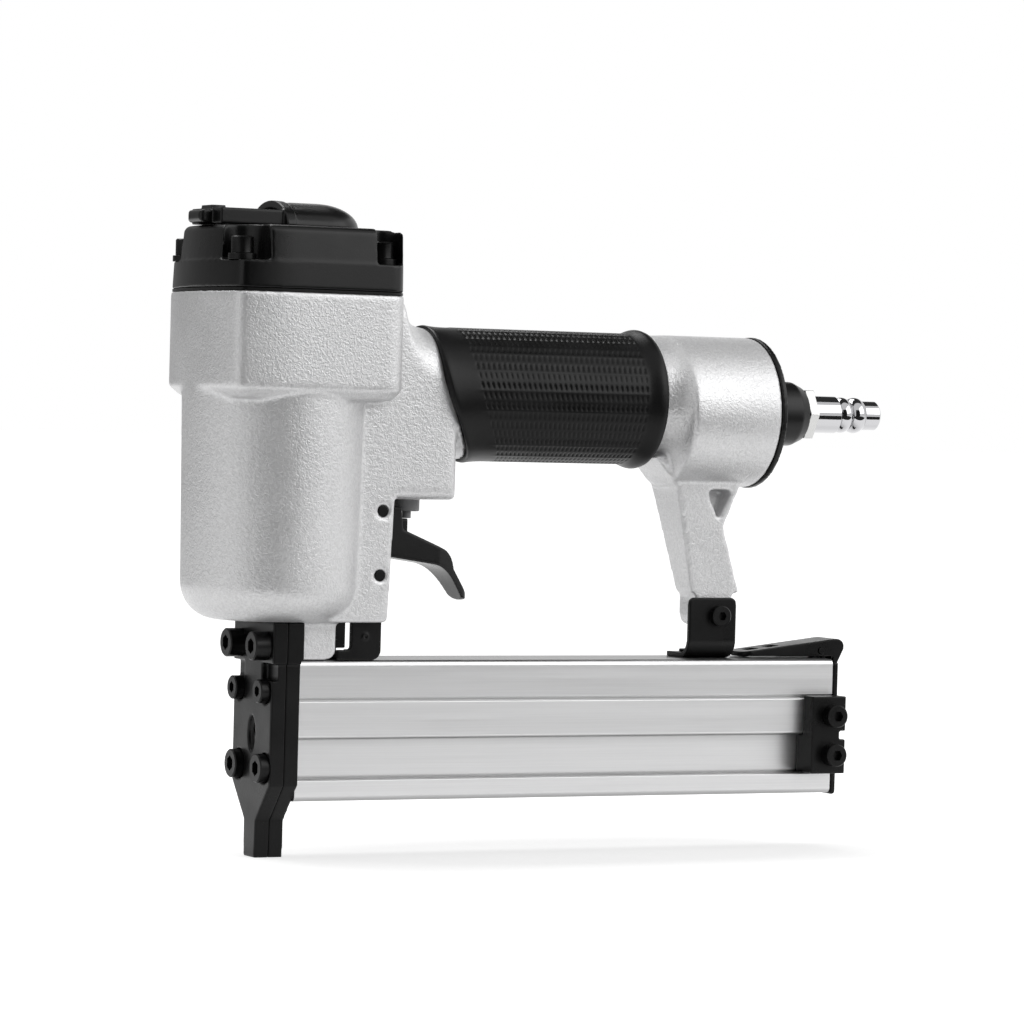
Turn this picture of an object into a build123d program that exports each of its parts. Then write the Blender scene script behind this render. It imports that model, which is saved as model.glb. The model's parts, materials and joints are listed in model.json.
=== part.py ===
from build123d import *
import os

os.makedirs("parts", exist_ok=True)

# All sizes are in millimetres. The origin is the middle of the nose tip,
# +Z runs up the driver and +X runs back along the handle to the air inlet.

# Heights along the driver
nose_height = 70.0
cylinder_height = 65.4
head_height = 30.9
gasket_thickness = 0.8
cap_height = 18.5
magazine_gap = 11.3
handle_drop = 28.3
casting_bottom = nose_height
ledge_level = casting_bottom + cylinder_height
head_top = ledge_level + head_height
cap_bottom = head_top + gasket_thickness
cap_top = cap_bottom + cap_height
handle_level = head_top - handle_drop

# Clearances
fit_gap = 0.05
pin_play = 0.06
seat_gap = 0.1
slide_gap = 0.3
ring_gap = 0.02
head_gap = 0.15

# O-rings, thickness
large_ring = 1.9
small_ring = 1.6

# Screws: thread radius, head radius, head height, key size, key depth
m5 = (2.5, 4.25, 5.0, 4.0, 2.5)
m4 = (2.0, 3.5, 4.0, 3.0, 2.0)
tall_m4 = (2.0, 3.3, 5.0, 3.0, 2.0)
low_m4 = (2.0, 3.2, 2.6, 2.5, 1.6)
low_m5 = (2.5, 4.25, 2.5, 3.0, 1.5)

# Cylinder and head of the casting
cylinder_high_radius = 27.4
cylinder_draft = 1.0
cylinder_bottom_round = 11.0
ledge_rise = 3.0
head_side_margin = 1.1
head_end_margin = 1.3
head_setback = 1.4
head_front_corner = 4.0
head_bow = 4.1
head_draw = 2.3
head_draw_length = 18.7
head_rear_corner = 6.0
cylinder_low_radius = cylinder_high_radius - cylinder_draft
head_length = 2 * (cylinder_high_radius + head_end_margin)
head_width = 2 * (cylinder_high_radius + head_side_margin)
head_front = head_setback - head_length / 2
head_rear = head_setback + head_length / 2

# Handle, grip sleeve, barrel
grip_radius = 20.0
grip_thickness = 2.8
grip_rear = 121.5
grip_flare = 1.3
grip_flare_length = 8.5
grip_top_front = 47.6
grip_side_front = 49.7
grip_under_front = 62.3
neck_step = 0.6
core_radius = grip_radius - grip_thickness - fit_gap
handle_bore_radius = 12.5
barrel_front = 130.0
barrel_length = 30.0
barrel_radius = 23.2
barrel_wall = 3.7
barrel_level = handle_level + grip_radius - barrel_radius
barrel_rear = barrel_front + barrel_length
# Neck between sleeve and barrel: place along the handle, radius, drop of its top below the barrel's
neck_sections = (
    (grip_rear + slide_gap, core_radius + 0.4, 0.4),
    (barrel_front - 4, core_radius + 1.7, 0.2),
    (barrel_front, barrel_radius, 0),
)

# Spine between the cylinder and the handle
spine_half = core_radius
spine_rear = 52.8
web_height = 36.5
web_rear_top = 32.3
web_rear_bottom = 30.8
web_front = 12.0
shoulder_rear = 34.5
spine_bottom = casting_bottom + web_height
slot_half = 11.8
slot_front = 23.7

# Trigger and its valve
trigger_pivot_x = 28.5
trigger_pivot_drop = 3.5
trigger_pivot_z = spine_bottom - trigger_pivot_drop
pin_radius = 1.7
trigger_half = 8.0
trigger_tip_half = 4.0
trigger_taper_start = 23.0
trigger_reach = 34.6
trigger_wall = 1.8
trigger_rib_half = 1.4
trigger_ear_radius = 4.2
trigger_tip_round = 3.2
trigger_tip_drop = 26.8
bracket_pin_x = 28.0
bracket_pin_rise = 14.0
bracket_pin_z = casting_bottom + bracket_pin_rise
valve_x = 44.0
valve_bore_radius = 6.0
valve_nose_radius = 3.85
valve_nose_drop = 3.8
valve_stem_radius = 1.35
valve_stem_drop = 2.1
valve_height = 15.5

# Strut from the barrel down to the magazine: level, front, rear, half width
strut_sections = (
    (casting_bottom + 51.0, 123.0, 158.0, 10.0),
    (casting_bottom + 42.1, 131.5, 153.9, 8.8),
    (casting_bottom + 29.4, 134.6, 149.2, 7.4),
    (casting_bottom + 8.8, 139.6, 156.4, 5.4),
)
gusset_front = 142.6
gusset_rear = 151.4
gusset_foot = 147.2
gusset_bottom = casting_bottom + 31.5
gusset_outer = 9.4
gusset_depth = 7.6
tongue_front = 141.0
tongue_rear = 154.0
tongue_half = 5.4
tongue_bottom = casting_bottom - 1.4

# Nose plates
plate_thickness = 4.6
plate_parting = -0.2
guide_thickness = 4.4
guide_head_thickness = 5.4
plate_half = 14.0
nose_head_half = 14.7
nose_head_height = 12.3
nose_tip_half = 4.5
nose_taper_low = 11.0
nose_taper_high = 22.0
screw_spread = 9.4
nose_screw_z = nose_height - 7.2
guide_screw_z = nose_height - 20.5
tip_screw_z = nose_taper_high + 4.9
guide_screw_sink = 1.3
tip_screw_sink = 2.3
nose_top = nose_height - seat_gap
guide_rear = plate_parting + guide_thickness
guide_head_rear = plate_parting + guide_head_thickness
plate_front = plate_parting - plate_thickness

# Foot of the casting that the nose is screwed to
foot_rear = 16.6
foot_half = 12.0
nose_thread = 8.0

# Driver and cylinder parts
driver_thickness = 1.2
driver_width = 3.2
driver_rest_z = nose_height - 9.5
floor_thickness = 6.0
bumper_radius = 15.8
bumper_height = 12.0
bore_radius = 16.5
sleeve_thickness = 2.0
sleeve_bottom = casting_bottom + floor_thickness + 4.0
sleeve_top = head_top - 6.3
cylinder_wall = 5.9
chamber_radius = cylinder_high_radius - cylinder_wall
piston_height = 10.0
piston_top = sleeve_top - 2.0
floor_level = casting_bottom + floor_thickness
sleeve_radius = bore_radius + sleeve_thickness

# Cap, head valve and deflector
cap_screw_front = head_front + 6.8
cap_screw_rear = head_rear - 5.9
cap_screw_half = head_width / 2 - 7.7
cap_skirt = 8.1
cap_front_step = 0.5
cap_lean = 0.9
cap_front_pocket = 6.6
cap_rear_pocket = 4.5
cap_cavity_radius = chamber_radius - slide_gap
cap_ceiling = cap_bottom + 10.9
cap_top_round = 2.2
cap_floor = cap_bottom + cap_skirt
washer_radius = 4.1
washer_thickness = 1.8
cap_screw_length = 20.0
valve_lift = 3.0
head_valve_height = 11.7
head_valve_bore = 8.0
deflector_height = 7.3
deflector_half = 13.0
deflector_mouth = -3.2
deflector_rear = 24.4
deflector_wall = 2.0
deflector_floor = 1.6
collar_rise = 0.4
collar_length = 3.0
port_circle = 7.3
port_radius = 2.0
chute_length = 20.0
chute_half = 11.0
chute_nub = 4.1
chute_height = 4.6
chute_front = deflector_mouth - chute_length
chute_tip = chute_front - chute_nub
deflector_bottom = cap_top + slide_gap

# Magazine
magazine_height = 41.7
magazine_half = 12.0
magazine_wall = 1.8
magazine_length = 182.6
channel_depth = 3.8
channel_high = 18.3
channel_low = 6.4
channel_round = 1.1
lip_edge = 0.35
groove_level = 30.05
groove_width = 0.9
groove_depth = 0.8
groove_edge = 0.3
magazine_round = 1.7
magazine_top = casting_bottom - magazine_gap
magazine_bottom = magazine_top - magazine_height
magazine_front = guide_rear
magazine_rear = magazine_front + magazine_length
channel_top = magazine_bottom + channel_high
channel_bottom = magazine_bottom + channel_low
cavity_half = magazine_half - magazine_wall
waist_half = cavity_half - channel_depth

# Rail and pusher inside the magazine
rail_half = waist_half - 0.4
rail_top = magazine_top - magazine_wall - 2.0
rail_slot_half = 0.9
rail_shoe_front = 60.0
rail_shoe_length = 6.0
pocket_half = 4.3
pocket_low = magazine_bottom + 12.7
pocket_high = magazine_bottom + 29.3
pusher_length = 22.0
roll_radius = 5.5
end_plate_thickness = 1.6
end_plate_front = magazine_rear + 0.4
end_plate_rear = end_plate_front + end_plate_thickness

# Latch on top of the magazine
latch_half = 6.0
latch_sheet = 1.4
latch_reach = 28.8
latch_overhang = 7.5
latch_rise = 6.0
latch_roof = 0.9
latch_pin_radius = 1.1
tooth_half = 3.6
window_half = 2.4
coil_length = 4.8
strip_length = 16.0
strip_half = latch_half - latch_sheet - slide_gap
latch_pivot_x = magazine_rear - 0.7
latch_pivot_z = magazine_top + 2.3
latch_front = magazine_rear - latch_reach
latch_rear = magazine_rear + latch_overhang

# Brackets, cut from sheet
sheet = 1.6
front_ear_front = 21.6
front_ear_rear = 31.4
front_toe_height = 3.0
front_toe_round = 1.3
far_ear_rear = 29.5
far_ear_lift = 2.3
ear_dot_x = 26.1
ear_dot_rise = 6.9
rear_ear_front = 138.0
rear_ear_rear = 154.5
rear_ear_top = casting_bottom + 7.5
rear_bend = 6.0
rear_screw_x = 148.2
rear_screw_z = casting_bottom + 1.9
rivet_radius = 1.6
rivet_head = 2.5
rivet_places = ((front_ear_front + 5.5, 0), (rear_ear_front + 5.0, 3.0))

# End cap and air plug
end_flange = 1.6
end_hub_radius = 10.0
end_hub_length = 16.9
plug_hex = 15.0
plug_hex_length = 3.1
plug_barrel_radius = 5.85
plug_barrel_length = 25.0
plug_shank_radius = 6.4
plug_bore = 3.0
end_flange_rear = barrel_rear + end_flange
hub_rear = end_flange_rear + end_hub_length
hex_rear = hub_rear + plug_hex_length
plug_end = hex_rear + plug_barrel_length

# Block on the side of the magazine
block_front = magazine_rear - 10.2
block_rear = magazine_rear + 1.7
block_face = 17.8
block_low = channel_bottom + seat_gap
block_high = magazine_bottom + 30.5
block_screw_length = 8.6
block_notch = 2.1
block_screw_x = magazine_rear - 3.3
block_screw_low = magazine_bottom + 12.4
block_screw_high = magazine_bottom + 24.5

FRONT = (-1, 0, 0)
REAR = (1, 0, 0)
LEFT = (0, -1, 0)
RIGHT = (0, 1, 0)
UP = (0, 0, 1)
FROM_BASE = (Align.CENTER, Align.CENTER, Align.MIN)


def block(front, rear, half_width, low, high, mode=Mode.ADD):
    """Box that is the same on both sides of the middle plane."""
    with Locations(((front + rear) / 2, 0, (low + high) / 2)):
        Box(rear - front, 2 * half_width, high - low, mode=mode)


def rod(start, direction, radius, length, mode=Mode.ADD):
    """Round rod from a start point along a direction."""
    with Locations(Plane(origin=start, z_dir=direction)):
        Cylinder(radius, length, align=FROM_BASE, mode=mode)


def socket_screw(size, length):
    """Cap screw with its head on +Z and the underside of the head at the origin."""
    thread, head, height, key, key_depth = size
    with BuildPart() as screw:
        rod((0, 0, -length), UP, thread, length)
        rod((0, 0, 0), UP, head, height)
        chamfer(screw.edges().group_by(Axis.Z)[-1], 0.4)
        with BuildSketch(Plane.XY.offset(height)):
            RegularPolygon(key / 2, 6, major_radius=False)
        extrude(amount=-key_depth, mode=Mode.SUBTRACT)
    return screw.part


def seal_ring(centre, direction, bore, thickness):
    """O-ring just inside a bore."""
    with Locations(Plane(origin=centre, z_dir=direction)):
        Torus(bore - ring_gap - thickness / 2, thickness / 2)


def seal_groove(centre, direction, bore, thickness):
    """Groove for the O-ring that seals against a bore."""
    with Locations(Plane(origin=centre, z_dir=direction)):
        Torus(bore - ring_gap - thickness / 2, thickness / 2 + fit_gap, mode=Mode.SUBTRACT)


def coil(radius, wire, height, turns):
    """Spring about the Z axis, standing on the origin, with its ends kept inside the height."""
    path = Helix(pitch=(height - 2 * wire) / turns, height=height - 2 * wire, radius=radius)
    with BuildPart() as spring:
        with BuildSketch(Plane(origin=path @ 0, z_dir=path % 0)):
            Circle(wire)
        sweep(path=path, is_frenet=True)
    return spring.part.moved(Location((0, 0, wire)))


def head_face(front, side, rear):
    """Outline of the head, inset from its faces: bowed front, sides that draw in to the front corners."""
    half = head_width / 2 - side
    corner_x = head_front + front + head_bow
    corner_y = half - head_draw
    with BuildSketch() as outline:
        with BuildLine():
            ThreePointArc((corner_x, -corner_y), (head_front + front, 0), (corner_x, corner_y))
            for face in (-1, 1):
                TangentArc((corner_x + head_draw_length, face * half), (corner_x, face * corner_y), tangent=FRONT)
                Line((corner_x + head_draw_length, face * half), (head_rear - rear, face * half))
            Line((head_rear - rear, -half), (head_rear - rear, half))
        make_face()
        fillet(outline.vertices().group_by(Axis.X)[0], head_front_corner - side)
        fillet(outline.vertices().group_by(Axis.X)[-1], head_rear_corner - side)
    return outline.sketch


def nose_face(head_half):
    """Outline of a nose plate: narrow tip, taper, body, waist and head."""
    waist = nose_height - nose_head_height
    half = [
        (nose_tip_half - 0.4, 0),
        (nose_tip_half, nose_taper_low),
        (plate_half, nose_taper_high),
        (plate_half, waist),
        (head_half, waist),
        (head_half, nose_top),
    ]
    with BuildSketch() as outline:
        with BuildLine():
            Polyline(*half, *[(-y, z) for y, z in reversed(half)], close=True)
        make_face()
    return outline.sketch


cap_screw_places = [
    (x, y) for x in (cap_screw_front, cap_screw_rear) for y in (-cap_screw_half, cap_screw_half)
]
head_full = head_face(0, 0, 0)
head_ledge = head_face(ledge_rise, ledge_rise, ledge_rise)
cap_foot = head_face(0.3, 0.3, 0.3)
cap_collar = head_face(0.6, 0.6, 0.4)
cap_waist = head_face(0.6 + cap_front_step, 0.7, 0.45)
cap_crown = head_face(0.6 + cap_front_step + cap_lean, 0.7 + cap_lean, 0.6)


def sleeve_edge(shift):
    """Slanted front edge of the grip sleeve in side view, moved along the handle."""
    return ThreePointArc(
        (grip_top_front + shift, handle_level + grip_radius + 0.5),
        (grip_side_front + shift, handle_level - 1.0),
        (grip_under_front + shift, handle_level - grip_radius - 0.5),
    )


# Room for the grip sleeve around the core of the handle
with BuildPart() as sleeve_room:
    with BuildSketch(Plane.XZ):
        with BuildLine():
            edge = sleeve_edge(-seat_gap)
            Polyline(
                edge @ 1,
                (grip_rear, handle_level - 2 * grip_radius),
                (grip_rear, handle_level + 2 * grip_radius),
                edge @ 0,
            )
        make_face()
    extrude(amount=2 * grip_radius, both=True)
    rod((web_front, 0, handle_level), REAR, core_radius, grip_rear, Mode.SUBTRACT)

# Spine: web behind the cylinder, block over the trigger and neck in front of the sleeve
with BuildPart() as spine:
    with BuildSketch(Plane.XZ) as side:
        with BuildLine():
            Polyline(
                (web_front, casting_bottom),
                (web_rear_bottom, casting_bottom),
                (web_rear_top, spine_bottom),
                (spine_rear, spine_bottom),
                (spine_rear, handle_level),
                (web_front, handle_level),
                close=True,
            )
        make_face()
        fillet(side.vertices().sort_by_distance((web_rear_bottom, casting_bottom))[0], 1.6)
        fillet(side.vertices().sort_by_distance((spine_rear, spine_bottom))[0], 1.0)
    extrude(amount=spine_half, both=True)
    rear_corners = spine.faces().sort_by(Axis.X)[-1].edges().filter_by(Axis.Z)
    fillet(rear_corners, 3.0)
    with BuildSketch(Plane.YZ.offset(spine_rear - 4)) as neck:
        with Locations((0, handle_level)):
            Circle(grip_radius - neck_step)
            Rectangle(2 * spine_half, 2 * grip_radius, mode=Mode.INTERSECT)
            Rectangle(2 * grip_radius, grip_radius, align=(Align.CENTER, Align.MIN), mode=Mode.SUBTRACT)
    extrude(amount=grip_under_front - spine_rear + 4)
    add(sleeve_room.part, mode=Mode.SUBTRACT)

# Shoulder that falls from the head to the round handle
with BuildPart() as shoulder:
    for place, top, corner in (
        (web_front, head_top, head_rear_corner),
        (shoulder_rear, head_top, head_rear_corner),
    ):
        with BuildSketch(Plane.YZ.offset(place)) as section:
            with Locations((0, (handle_level + top) / 2)):
                Rectangle(2 * spine_half, top - handle_level)
            fillet(section.vertices().group_by(Axis.Y)[-1], corner)
    loft(ruled=True)
    for place, top, corner in (
        (shoulder_rear, head_top, head_rear_corner),
        (shoulder_rear + 3.5, handle_level + grip_radius + 2.6, 12.0),
        (grip_top_front - 0.4, handle_level + grip_radius - 0.4, 16.5),
    ):
        with BuildSketch(Plane.YZ.offset(place)) as section:
            with Locations((0, (handle_level + top) / 2)):
                Rectangle(2 * spine_half, top - handle_level)
            fillet(section.vertices().group_by(Axis.Y)[-1], corner)
    loft()

# Cast body
with BuildPart() as body_casting:
    with Locations((0, 0, casting_bottom)):
        Cone(cylinder_low_radius, cylinder_high_radius, cylinder_height + ledge_rise, align=FROM_BASE)
    fillet(body_casting.edges().group_by(Axis.Z)[0], cylinder_bottom_round)
    with BuildSketch(Plane.XY.offset(ledge_level)):
        add(head_ledge)
    with BuildSketch(Plane.XY.offset(ledge_level + ledge_rise)):
        add(head_full)
    loft(ruled=True)
    with BuildSketch(Plane.XY.offset(ledge_level + ledge_rise)):
        add(head_full)
    extrude(amount=head_height - ledge_rise)
    add(spine.part)
    add(shoulder.part)
    rod((web_front, 0, handle_level), REAR, core_radius, grip_rear + slide_gap - web_front)
    for place, radius, top_drop in neck_sections:
        with BuildSketch(Plane.YZ.offset(place)):
            with Locations((0, barrel_level + barrel_radius - top_drop - radius)):
                Circle(radius)
    loft()
    rod((barrel_front, 0, barrel_level), REAR, barrel_radius, barrel_length)
    for level, front, rear, half_width in strut_sections:
        with BuildSketch(Plane.XY.offset(level)):
            with Locations(((front + rear) / 2, 0)):
                Rectangle(rear - front, 2 * half_width)
    loft(ruled=True)
    with BuildSketch(Plane.XZ) as tongue:
        with Locations(((tongue_front + tongue_rear) / 2, tongue_bottom)):
            Rectangle(tongue_rear - tongue_front, 12, align=(Align.CENTER, Align.MIN))
        fillet(tongue.vertices().group_by(Axis.Y)[0], 3.0)
    extrude(amount=tongue_half, both=True)
    with BuildSketch(Plane.XZ) as foot:
        with Locations((guide_head_rear, magazine_top + seat_gap)):
            Rectangle(foot_rear - guide_head_rear, magazine_gap + 3, align=(Align.MIN, Align.MIN))
        fillet(foot.vertices().sort_by_distance((foot_rear, magazine_top))[0], 3.0)
    extrude(amount=foot_half, both=True)

    # Hollow for the cylinder parts, air chamber in the handle and barrel
    rod((0, 0, floor_level), UP, bumper_radius + seat_gap, head_height, Mode.SUBTRACT)
    rod((0, 0, sleeve_bottom), UP, sleeve_radius + fit_gap, head_height, Mode.SUBTRACT)
    rod((0, 0, sleeve_bottom + 12), UP, chamber_radius, head_top - sleeve_bottom - 12, Mode.SUBTRACT)
    rod((web_front, 0, handle_level), REAR, handle_bore_radius, barrel_front + 5 - web_front, Mode.SUBTRACT)
    rod((barrel_front + 4, 0, barrel_level), REAR, barrel_radius - barrel_wall, barrel_length, Mode.SUBTRACT)
    block(-driver_thickness, driver_thickness, driver_width / 2 + 0.4, casting_bottom - 1, floor_level + 1,
          Mode.SUBTRACT)

    # Room for the trigger, its pins and its valve
    block(slot_front, spine_rear, slot_half, casting_bottom - 1, spine_bottom, Mode.SUBTRACT)
    block(slot_front, slot_front + 11, slot_half, spine_bottom - 1, spine_bottom + 2, Mode.SUBTRACT)
    for x, z in ((trigger_pivot_x, trigger_pivot_z), (bracket_pin_x, bracket_pin_z)):
        rod((x, -spine_half - 1, z), RIGHT, pin_radius + fit_gap, 2 * spine_half + 2, Mode.SUBTRACT)
    rod((valve_x, 0, spine_bottom - 1), UP, valve_bore_radius, handle_drop, Mode.SUBTRACT)

    # Triangular pockets beside the strut's rear gusset
    for face in (-1, 1):
        with BuildSketch(Plane.XZ.offset(face * gusset_outer)):
            with BuildLine():
                Polyline(
                    (gusset_front, barrel_level - barrel_radius - 0.8),
                    (gusset_rear, barrel_level - barrel_radius - 0.8),
                    (gusset_foot, gusset_bottom),
                    close=True,
                )
            make_face()
        extrude(amount=-face * gusset_depth, mode=Mode.SUBTRACT)

    # Screw holes
    for x, y in cap_screw_places:
        rod((x, y, head_top + gasket_thickness - cap_screw_length), UP, m4[0] + fit_gap, cap_screw_length,
            Mode.SUBTRACT)
    for y in (-screw_spread, screw_spread):
        rod((guide_head_rear - 1, y, nose_screw_z), REAR, m5[0] + fit_gap, nose_thread + 2, Mode.SUBTRACT)
    rod((rear_screw_x, -tongue_half - 1, rear_screw_z), RIGHT, m4[0] + fit_gap, 2 * tongue_half, Mode.SUBTRACT)

# Gasket between the head and the cap
with BuildPart() as head_gasket:
    with BuildSketch(Plane.XY.offset(head_top)):
        add(cap_foot)
        Circle(chamber_radius, mode=Mode.SUBTRACT)
        with Locations(*cap_screw_places):
            Circle(m4[0] + seat_gap, mode=Mode.SUBTRACT)
    extrude(amount=gasket_thickness)

# Cylinder cap with four screw pockets
with BuildPart() as cylinder_cap:
    for low, lower, high, upper in (
        (cap_floor, cap_waist, cap_top, cap_crown),
        (cap_bottom, cap_foot, cap_floor, cap_collar),
    ):
        with BuildSketch(Plane.XY.offset(low)):
            add(lower)
        with BuildSketch(Plane.XY.offset(high)):
            add(upper)
        loft(ruled=True)
    fillet(cylinder_cap.faces().sort_by(Axis.Z)[-1].edges(), cap_top_round)
    for x, y in cap_screw_places:
        pocket = cap_front_pocket if x < 0 else cap_rear_pocket
        side = 1 if y > 0 else -1
        rod((x, y, cap_floor), UP, pocket, cap_height, Mode.SUBTRACT)
        with Locations((x, y + side * head_width / 4, cap_floor)):
            Box(2 * pocket, head_width / 2, cap_height, align=FROM_BASE, mode=Mode.SUBTRACT)
        rod((x, y, cap_bottom - 1), UP, m4[0] + seat_gap, cap_height, Mode.SUBTRACT)
    rod((0, 0, cap_bottom - 1), UP, cap_cavity_radius, cap_ceiling - cap_bottom + 1, Mode.SUBTRACT)
    with Locations((0, 0, cap_ceiling - 1)):
        with PolarLocations(port_circle, 6):
            Cylinder(port_radius, cap_height, align=FROM_BASE, mode=Mode.SUBTRACT)
    rod((0, 0, cap_ceiling), UP, m5[0] + fit_gap, cap_height, Mode.SUBTRACT)

cap_screw = socket_screw(tall_m4, cap_screw_length)
with BuildPart() as cap_screws:
    with Locations(*[(x, y, cap_floor + washer_thickness) for x, y in cap_screw_places]):
        add(cap_screw)

with BuildPart() as cap_washers:
    with Locations(*[(x, y, cap_floor) for x, y in cap_screw_places]):
        Cylinder(washer_radius, washer_thickness, align=FROM_BASE)
        Cylinder(m4[0] + seat_gap, washer_thickness, align=FROM_BASE, mode=Mode.SUBTRACT)

# Exhaust deflector: domed hood with an arched mouth to the front and an open chute
with BuildPart() as exhaust_deflector:
    hood_end = deflector_rear - deflector_half
    for grow, length in ((0, hood_end - deflector_mouth), (collar_rise, collar_length)):
        with BuildSketch(Plane.YZ.offset(deflector_mouth)):
            with Locations((0, deflector_bottom)):
                Ellipse(deflector_half + grow, deflector_height + grow)
                Rectangle(4 * deflector_half, 2 * deflector_height, align=(Align.CENTER, Align.MAX),
                          mode=Mode.SUBTRACT)
        extrude(amount=length)
    with BuildSketch(Plane.XZ):
        with Locations((hood_end, deflector_bottom)):
            Ellipse(deflector_half, deflector_height)
            Rectangle(4 * deflector_half, 2 * deflector_height, align=(Align.CENTER, Align.MAX),
                      mode=Mode.SUBTRACT)
            Rectangle(2 * deflector_half, 4 * deflector_height, align=(Align.MAX, Align.CENTER),
                      mode=Mode.SUBTRACT)
    revolve(axis=Axis((hood_end, 0, deflector_bottom), UP))
    with BuildSketch(Plane.YZ.offset(deflector_mouth)):
        with Locations((0, deflector_bottom)):
            Ellipse(deflector_half - deflector_wall, deflector_height - deflector_wall)
        with Locations((0, deflector_bottom + deflector_floor)):
            Rectangle(2 * deflector_half, 2 * deflector_height, align=(Align.CENTER, Align.MAX),
                      mode=Mode.SUBTRACT)
    extrude(amount=hood_end - deflector_mouth, mode=Mode.SUBTRACT)
    with Locations((0, 0, deflector_bottom - 1)):
        with PolarLocations(port_circle, 6):
            Cylinder(port_radius + 0.3, deflector_floor + 2, align=FROM_BASE, mode=Mode.SUBTRACT)
    block(chute_front, deflector_mouth, chute_half, deflector_bottom, deflector_bottom + chute_height)
    block(chute_front + deflector_wall, deflector_mouth, chute_half - deflector_wall,
          deflector_bottom + deflector_floor, deflector_bottom + chute_height, Mode.SUBTRACT)
    block(chute_front, chute_front + 4.5, 4.0, deflector_bottom, deflector_bottom + chute_height + 0.9)
    block(chute_tip, chute_front, 5.0, deflector_bottom + 0.3, deflector_bottom + 4.0)
    tip_edges = exhaust_deflector.faces().sort_by(Axis.X)[0].edges()
    fillet(tip_edges, 1.4)
    rod((0, 0, deflector_bottom - 1), UP, m5[0] + pin_play, 2 * deflector_height, Mode.SUBTRACT)

deflector_thread = 5.5
low_screw = socket_screw(low_m5, deflector_thread + slide_gap + deflector_floor + seat_gap)
with BuildPart() as deflector_screw:
    with Locations((0, 0, deflector_bottom + deflector_floor + seat_gap)):
        add(low_screw)

# Working parts inside the cylinder
with BuildPart() as cylinder_sleeve:
    rod((0, 0, sleeve_bottom), UP, sleeve_radius, sleeve_top - sleeve_bottom)
    rod((0, 0, sleeve_top - 6), UP, chamber_radius - fit_gap, 6)
    rod((0, 0, sleeve_bottom - 1), UP, bore_radius, sleeve_top, Mode.SUBTRACT)
    seal_groove((0, 0, sleeve_top - 3), UP, chamber_radius, large_ring)

with BuildPart() as sleeve_seal:
    seal_ring((0, 0, sleeve_top - 3), UP, chamber_radius, large_ring)

with BuildPart() as bumper:
    rod((0, 0, floor_level), UP, bumper_radius, bumper_height)
    fillet(bumper.edges().group_by(Axis.Z)[-1], 2.5)
    rod((0, 0, floor_level - 1), UP, 3.2, bumper_height + 2, Mode.SUBTRACT)

with BuildPart() as piston:
    rod((0, 0, piston_top - piston_height), UP, bore_radius - pin_play, piston_height)
    rod((0, 0, piston_top - 3), UP, bore_radius - 4, 4, Mode.SUBTRACT)
    rod((0, 0, piston_top - piston_height - 1), UP, 2.5 + fit_gap, piston_height, Mode.SUBTRACT)
    seal_groove((0, 0, piston_top - piston_height / 2), UP, bore_radius, large_ring)

with BuildPart() as piston_ring:
    seal_ring((0, 0, piston_top - piston_height / 2), UP, bore_radius, large_ring)

with BuildPart() as driver_blade:
    block(-driver_thickness / 2, driver_thickness / 2, driver_width / 2, driver_rest_z,
          piston_top - piston_height - 3)
    rod((0, 0, piston_top - piston_height - 5), UP, 2.5, 11)

with BuildPart() as head_valve:
    rod((0, 0, sleeve_top + slide_gap), UP, cap_cavity_radius - pin_play, head_valve_height)
    rod((0, 0, sleeve_top), UP, head_valve_bore, head_valve_height + 2, Mode.SUBTRACT)
    rod((0, 0, sleeve_top + 4), UP, cap_cavity_radius - 3.5, head_valve_height, Mode.SUBTRACT)
    seal_groove((0, 0, sleeve_top + head_valve_height - 2), UP, cap_cavity_radius, small_ring)

with BuildPart() as head_valve_seal:
    seal_ring((0, 0, sleeve_top + head_valve_height - 2), UP, cap_cavity_radius, small_ring)

spring_low = sleeve_top + 4
spring_room = cap_ceiling - spring_low
with BuildPart() as head_valve_spring:
    with Locations((0, 0, spring_low)):
        add(coil(14.0, 0.7, spring_room, 4))

# Trigger valve
valve_top = spine_bottom + valve_height
valve_ring_levels = (spine_bottom + 4, valve_top - 3.5)
with BuildPart() as trigger_valve_housing:
    rod((valve_x, 0, spine_bottom), UP, valve_bore_radius - fit_gap, valve_height)
    rod((valve_x, 0, spine_bottom - valve_nose_drop), UP, valve_nose_radius, valve_nose_drop + 1)
    rod((valve_x, 0, spine_bottom - 10), UP, valve_stem_radius + pin_play, 40, Mode.SUBTRACT)
    rod((valve_x, 0, spine_bottom + 3), UP, 3.4, valve_height - 5, Mode.SUBTRACT)
    for level in valve_ring_levels:
        seal_groove((valve_x, 0, level), UP, valve_bore_radius, small_ring)

with BuildPart() as trigger_valve_seals:
    for level in valve_ring_levels:
        seal_ring((valve_x, 0, level), UP, valve_bore_radius, small_ring)

stem_bottom = spine_bottom - valve_nose_drop - valve_stem_drop
with BuildPart() as trigger_valve_stem:
    rod((valve_x, 0, stem_bottom), UP, valve_stem_radius, 13.5)
    rod((valve_x, 0, stem_bottom + 9.5), UP, 3.0, 1.8)

stem_spring_low = stem_bottom + 11.3
with BuildPart() as trigger_valve_spring:
    with Locations((valve_x, 0, stem_spring_low)):
        add(coil(2.4, 0.35, valve_top - 2 - stem_spring_low, 4))

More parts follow.
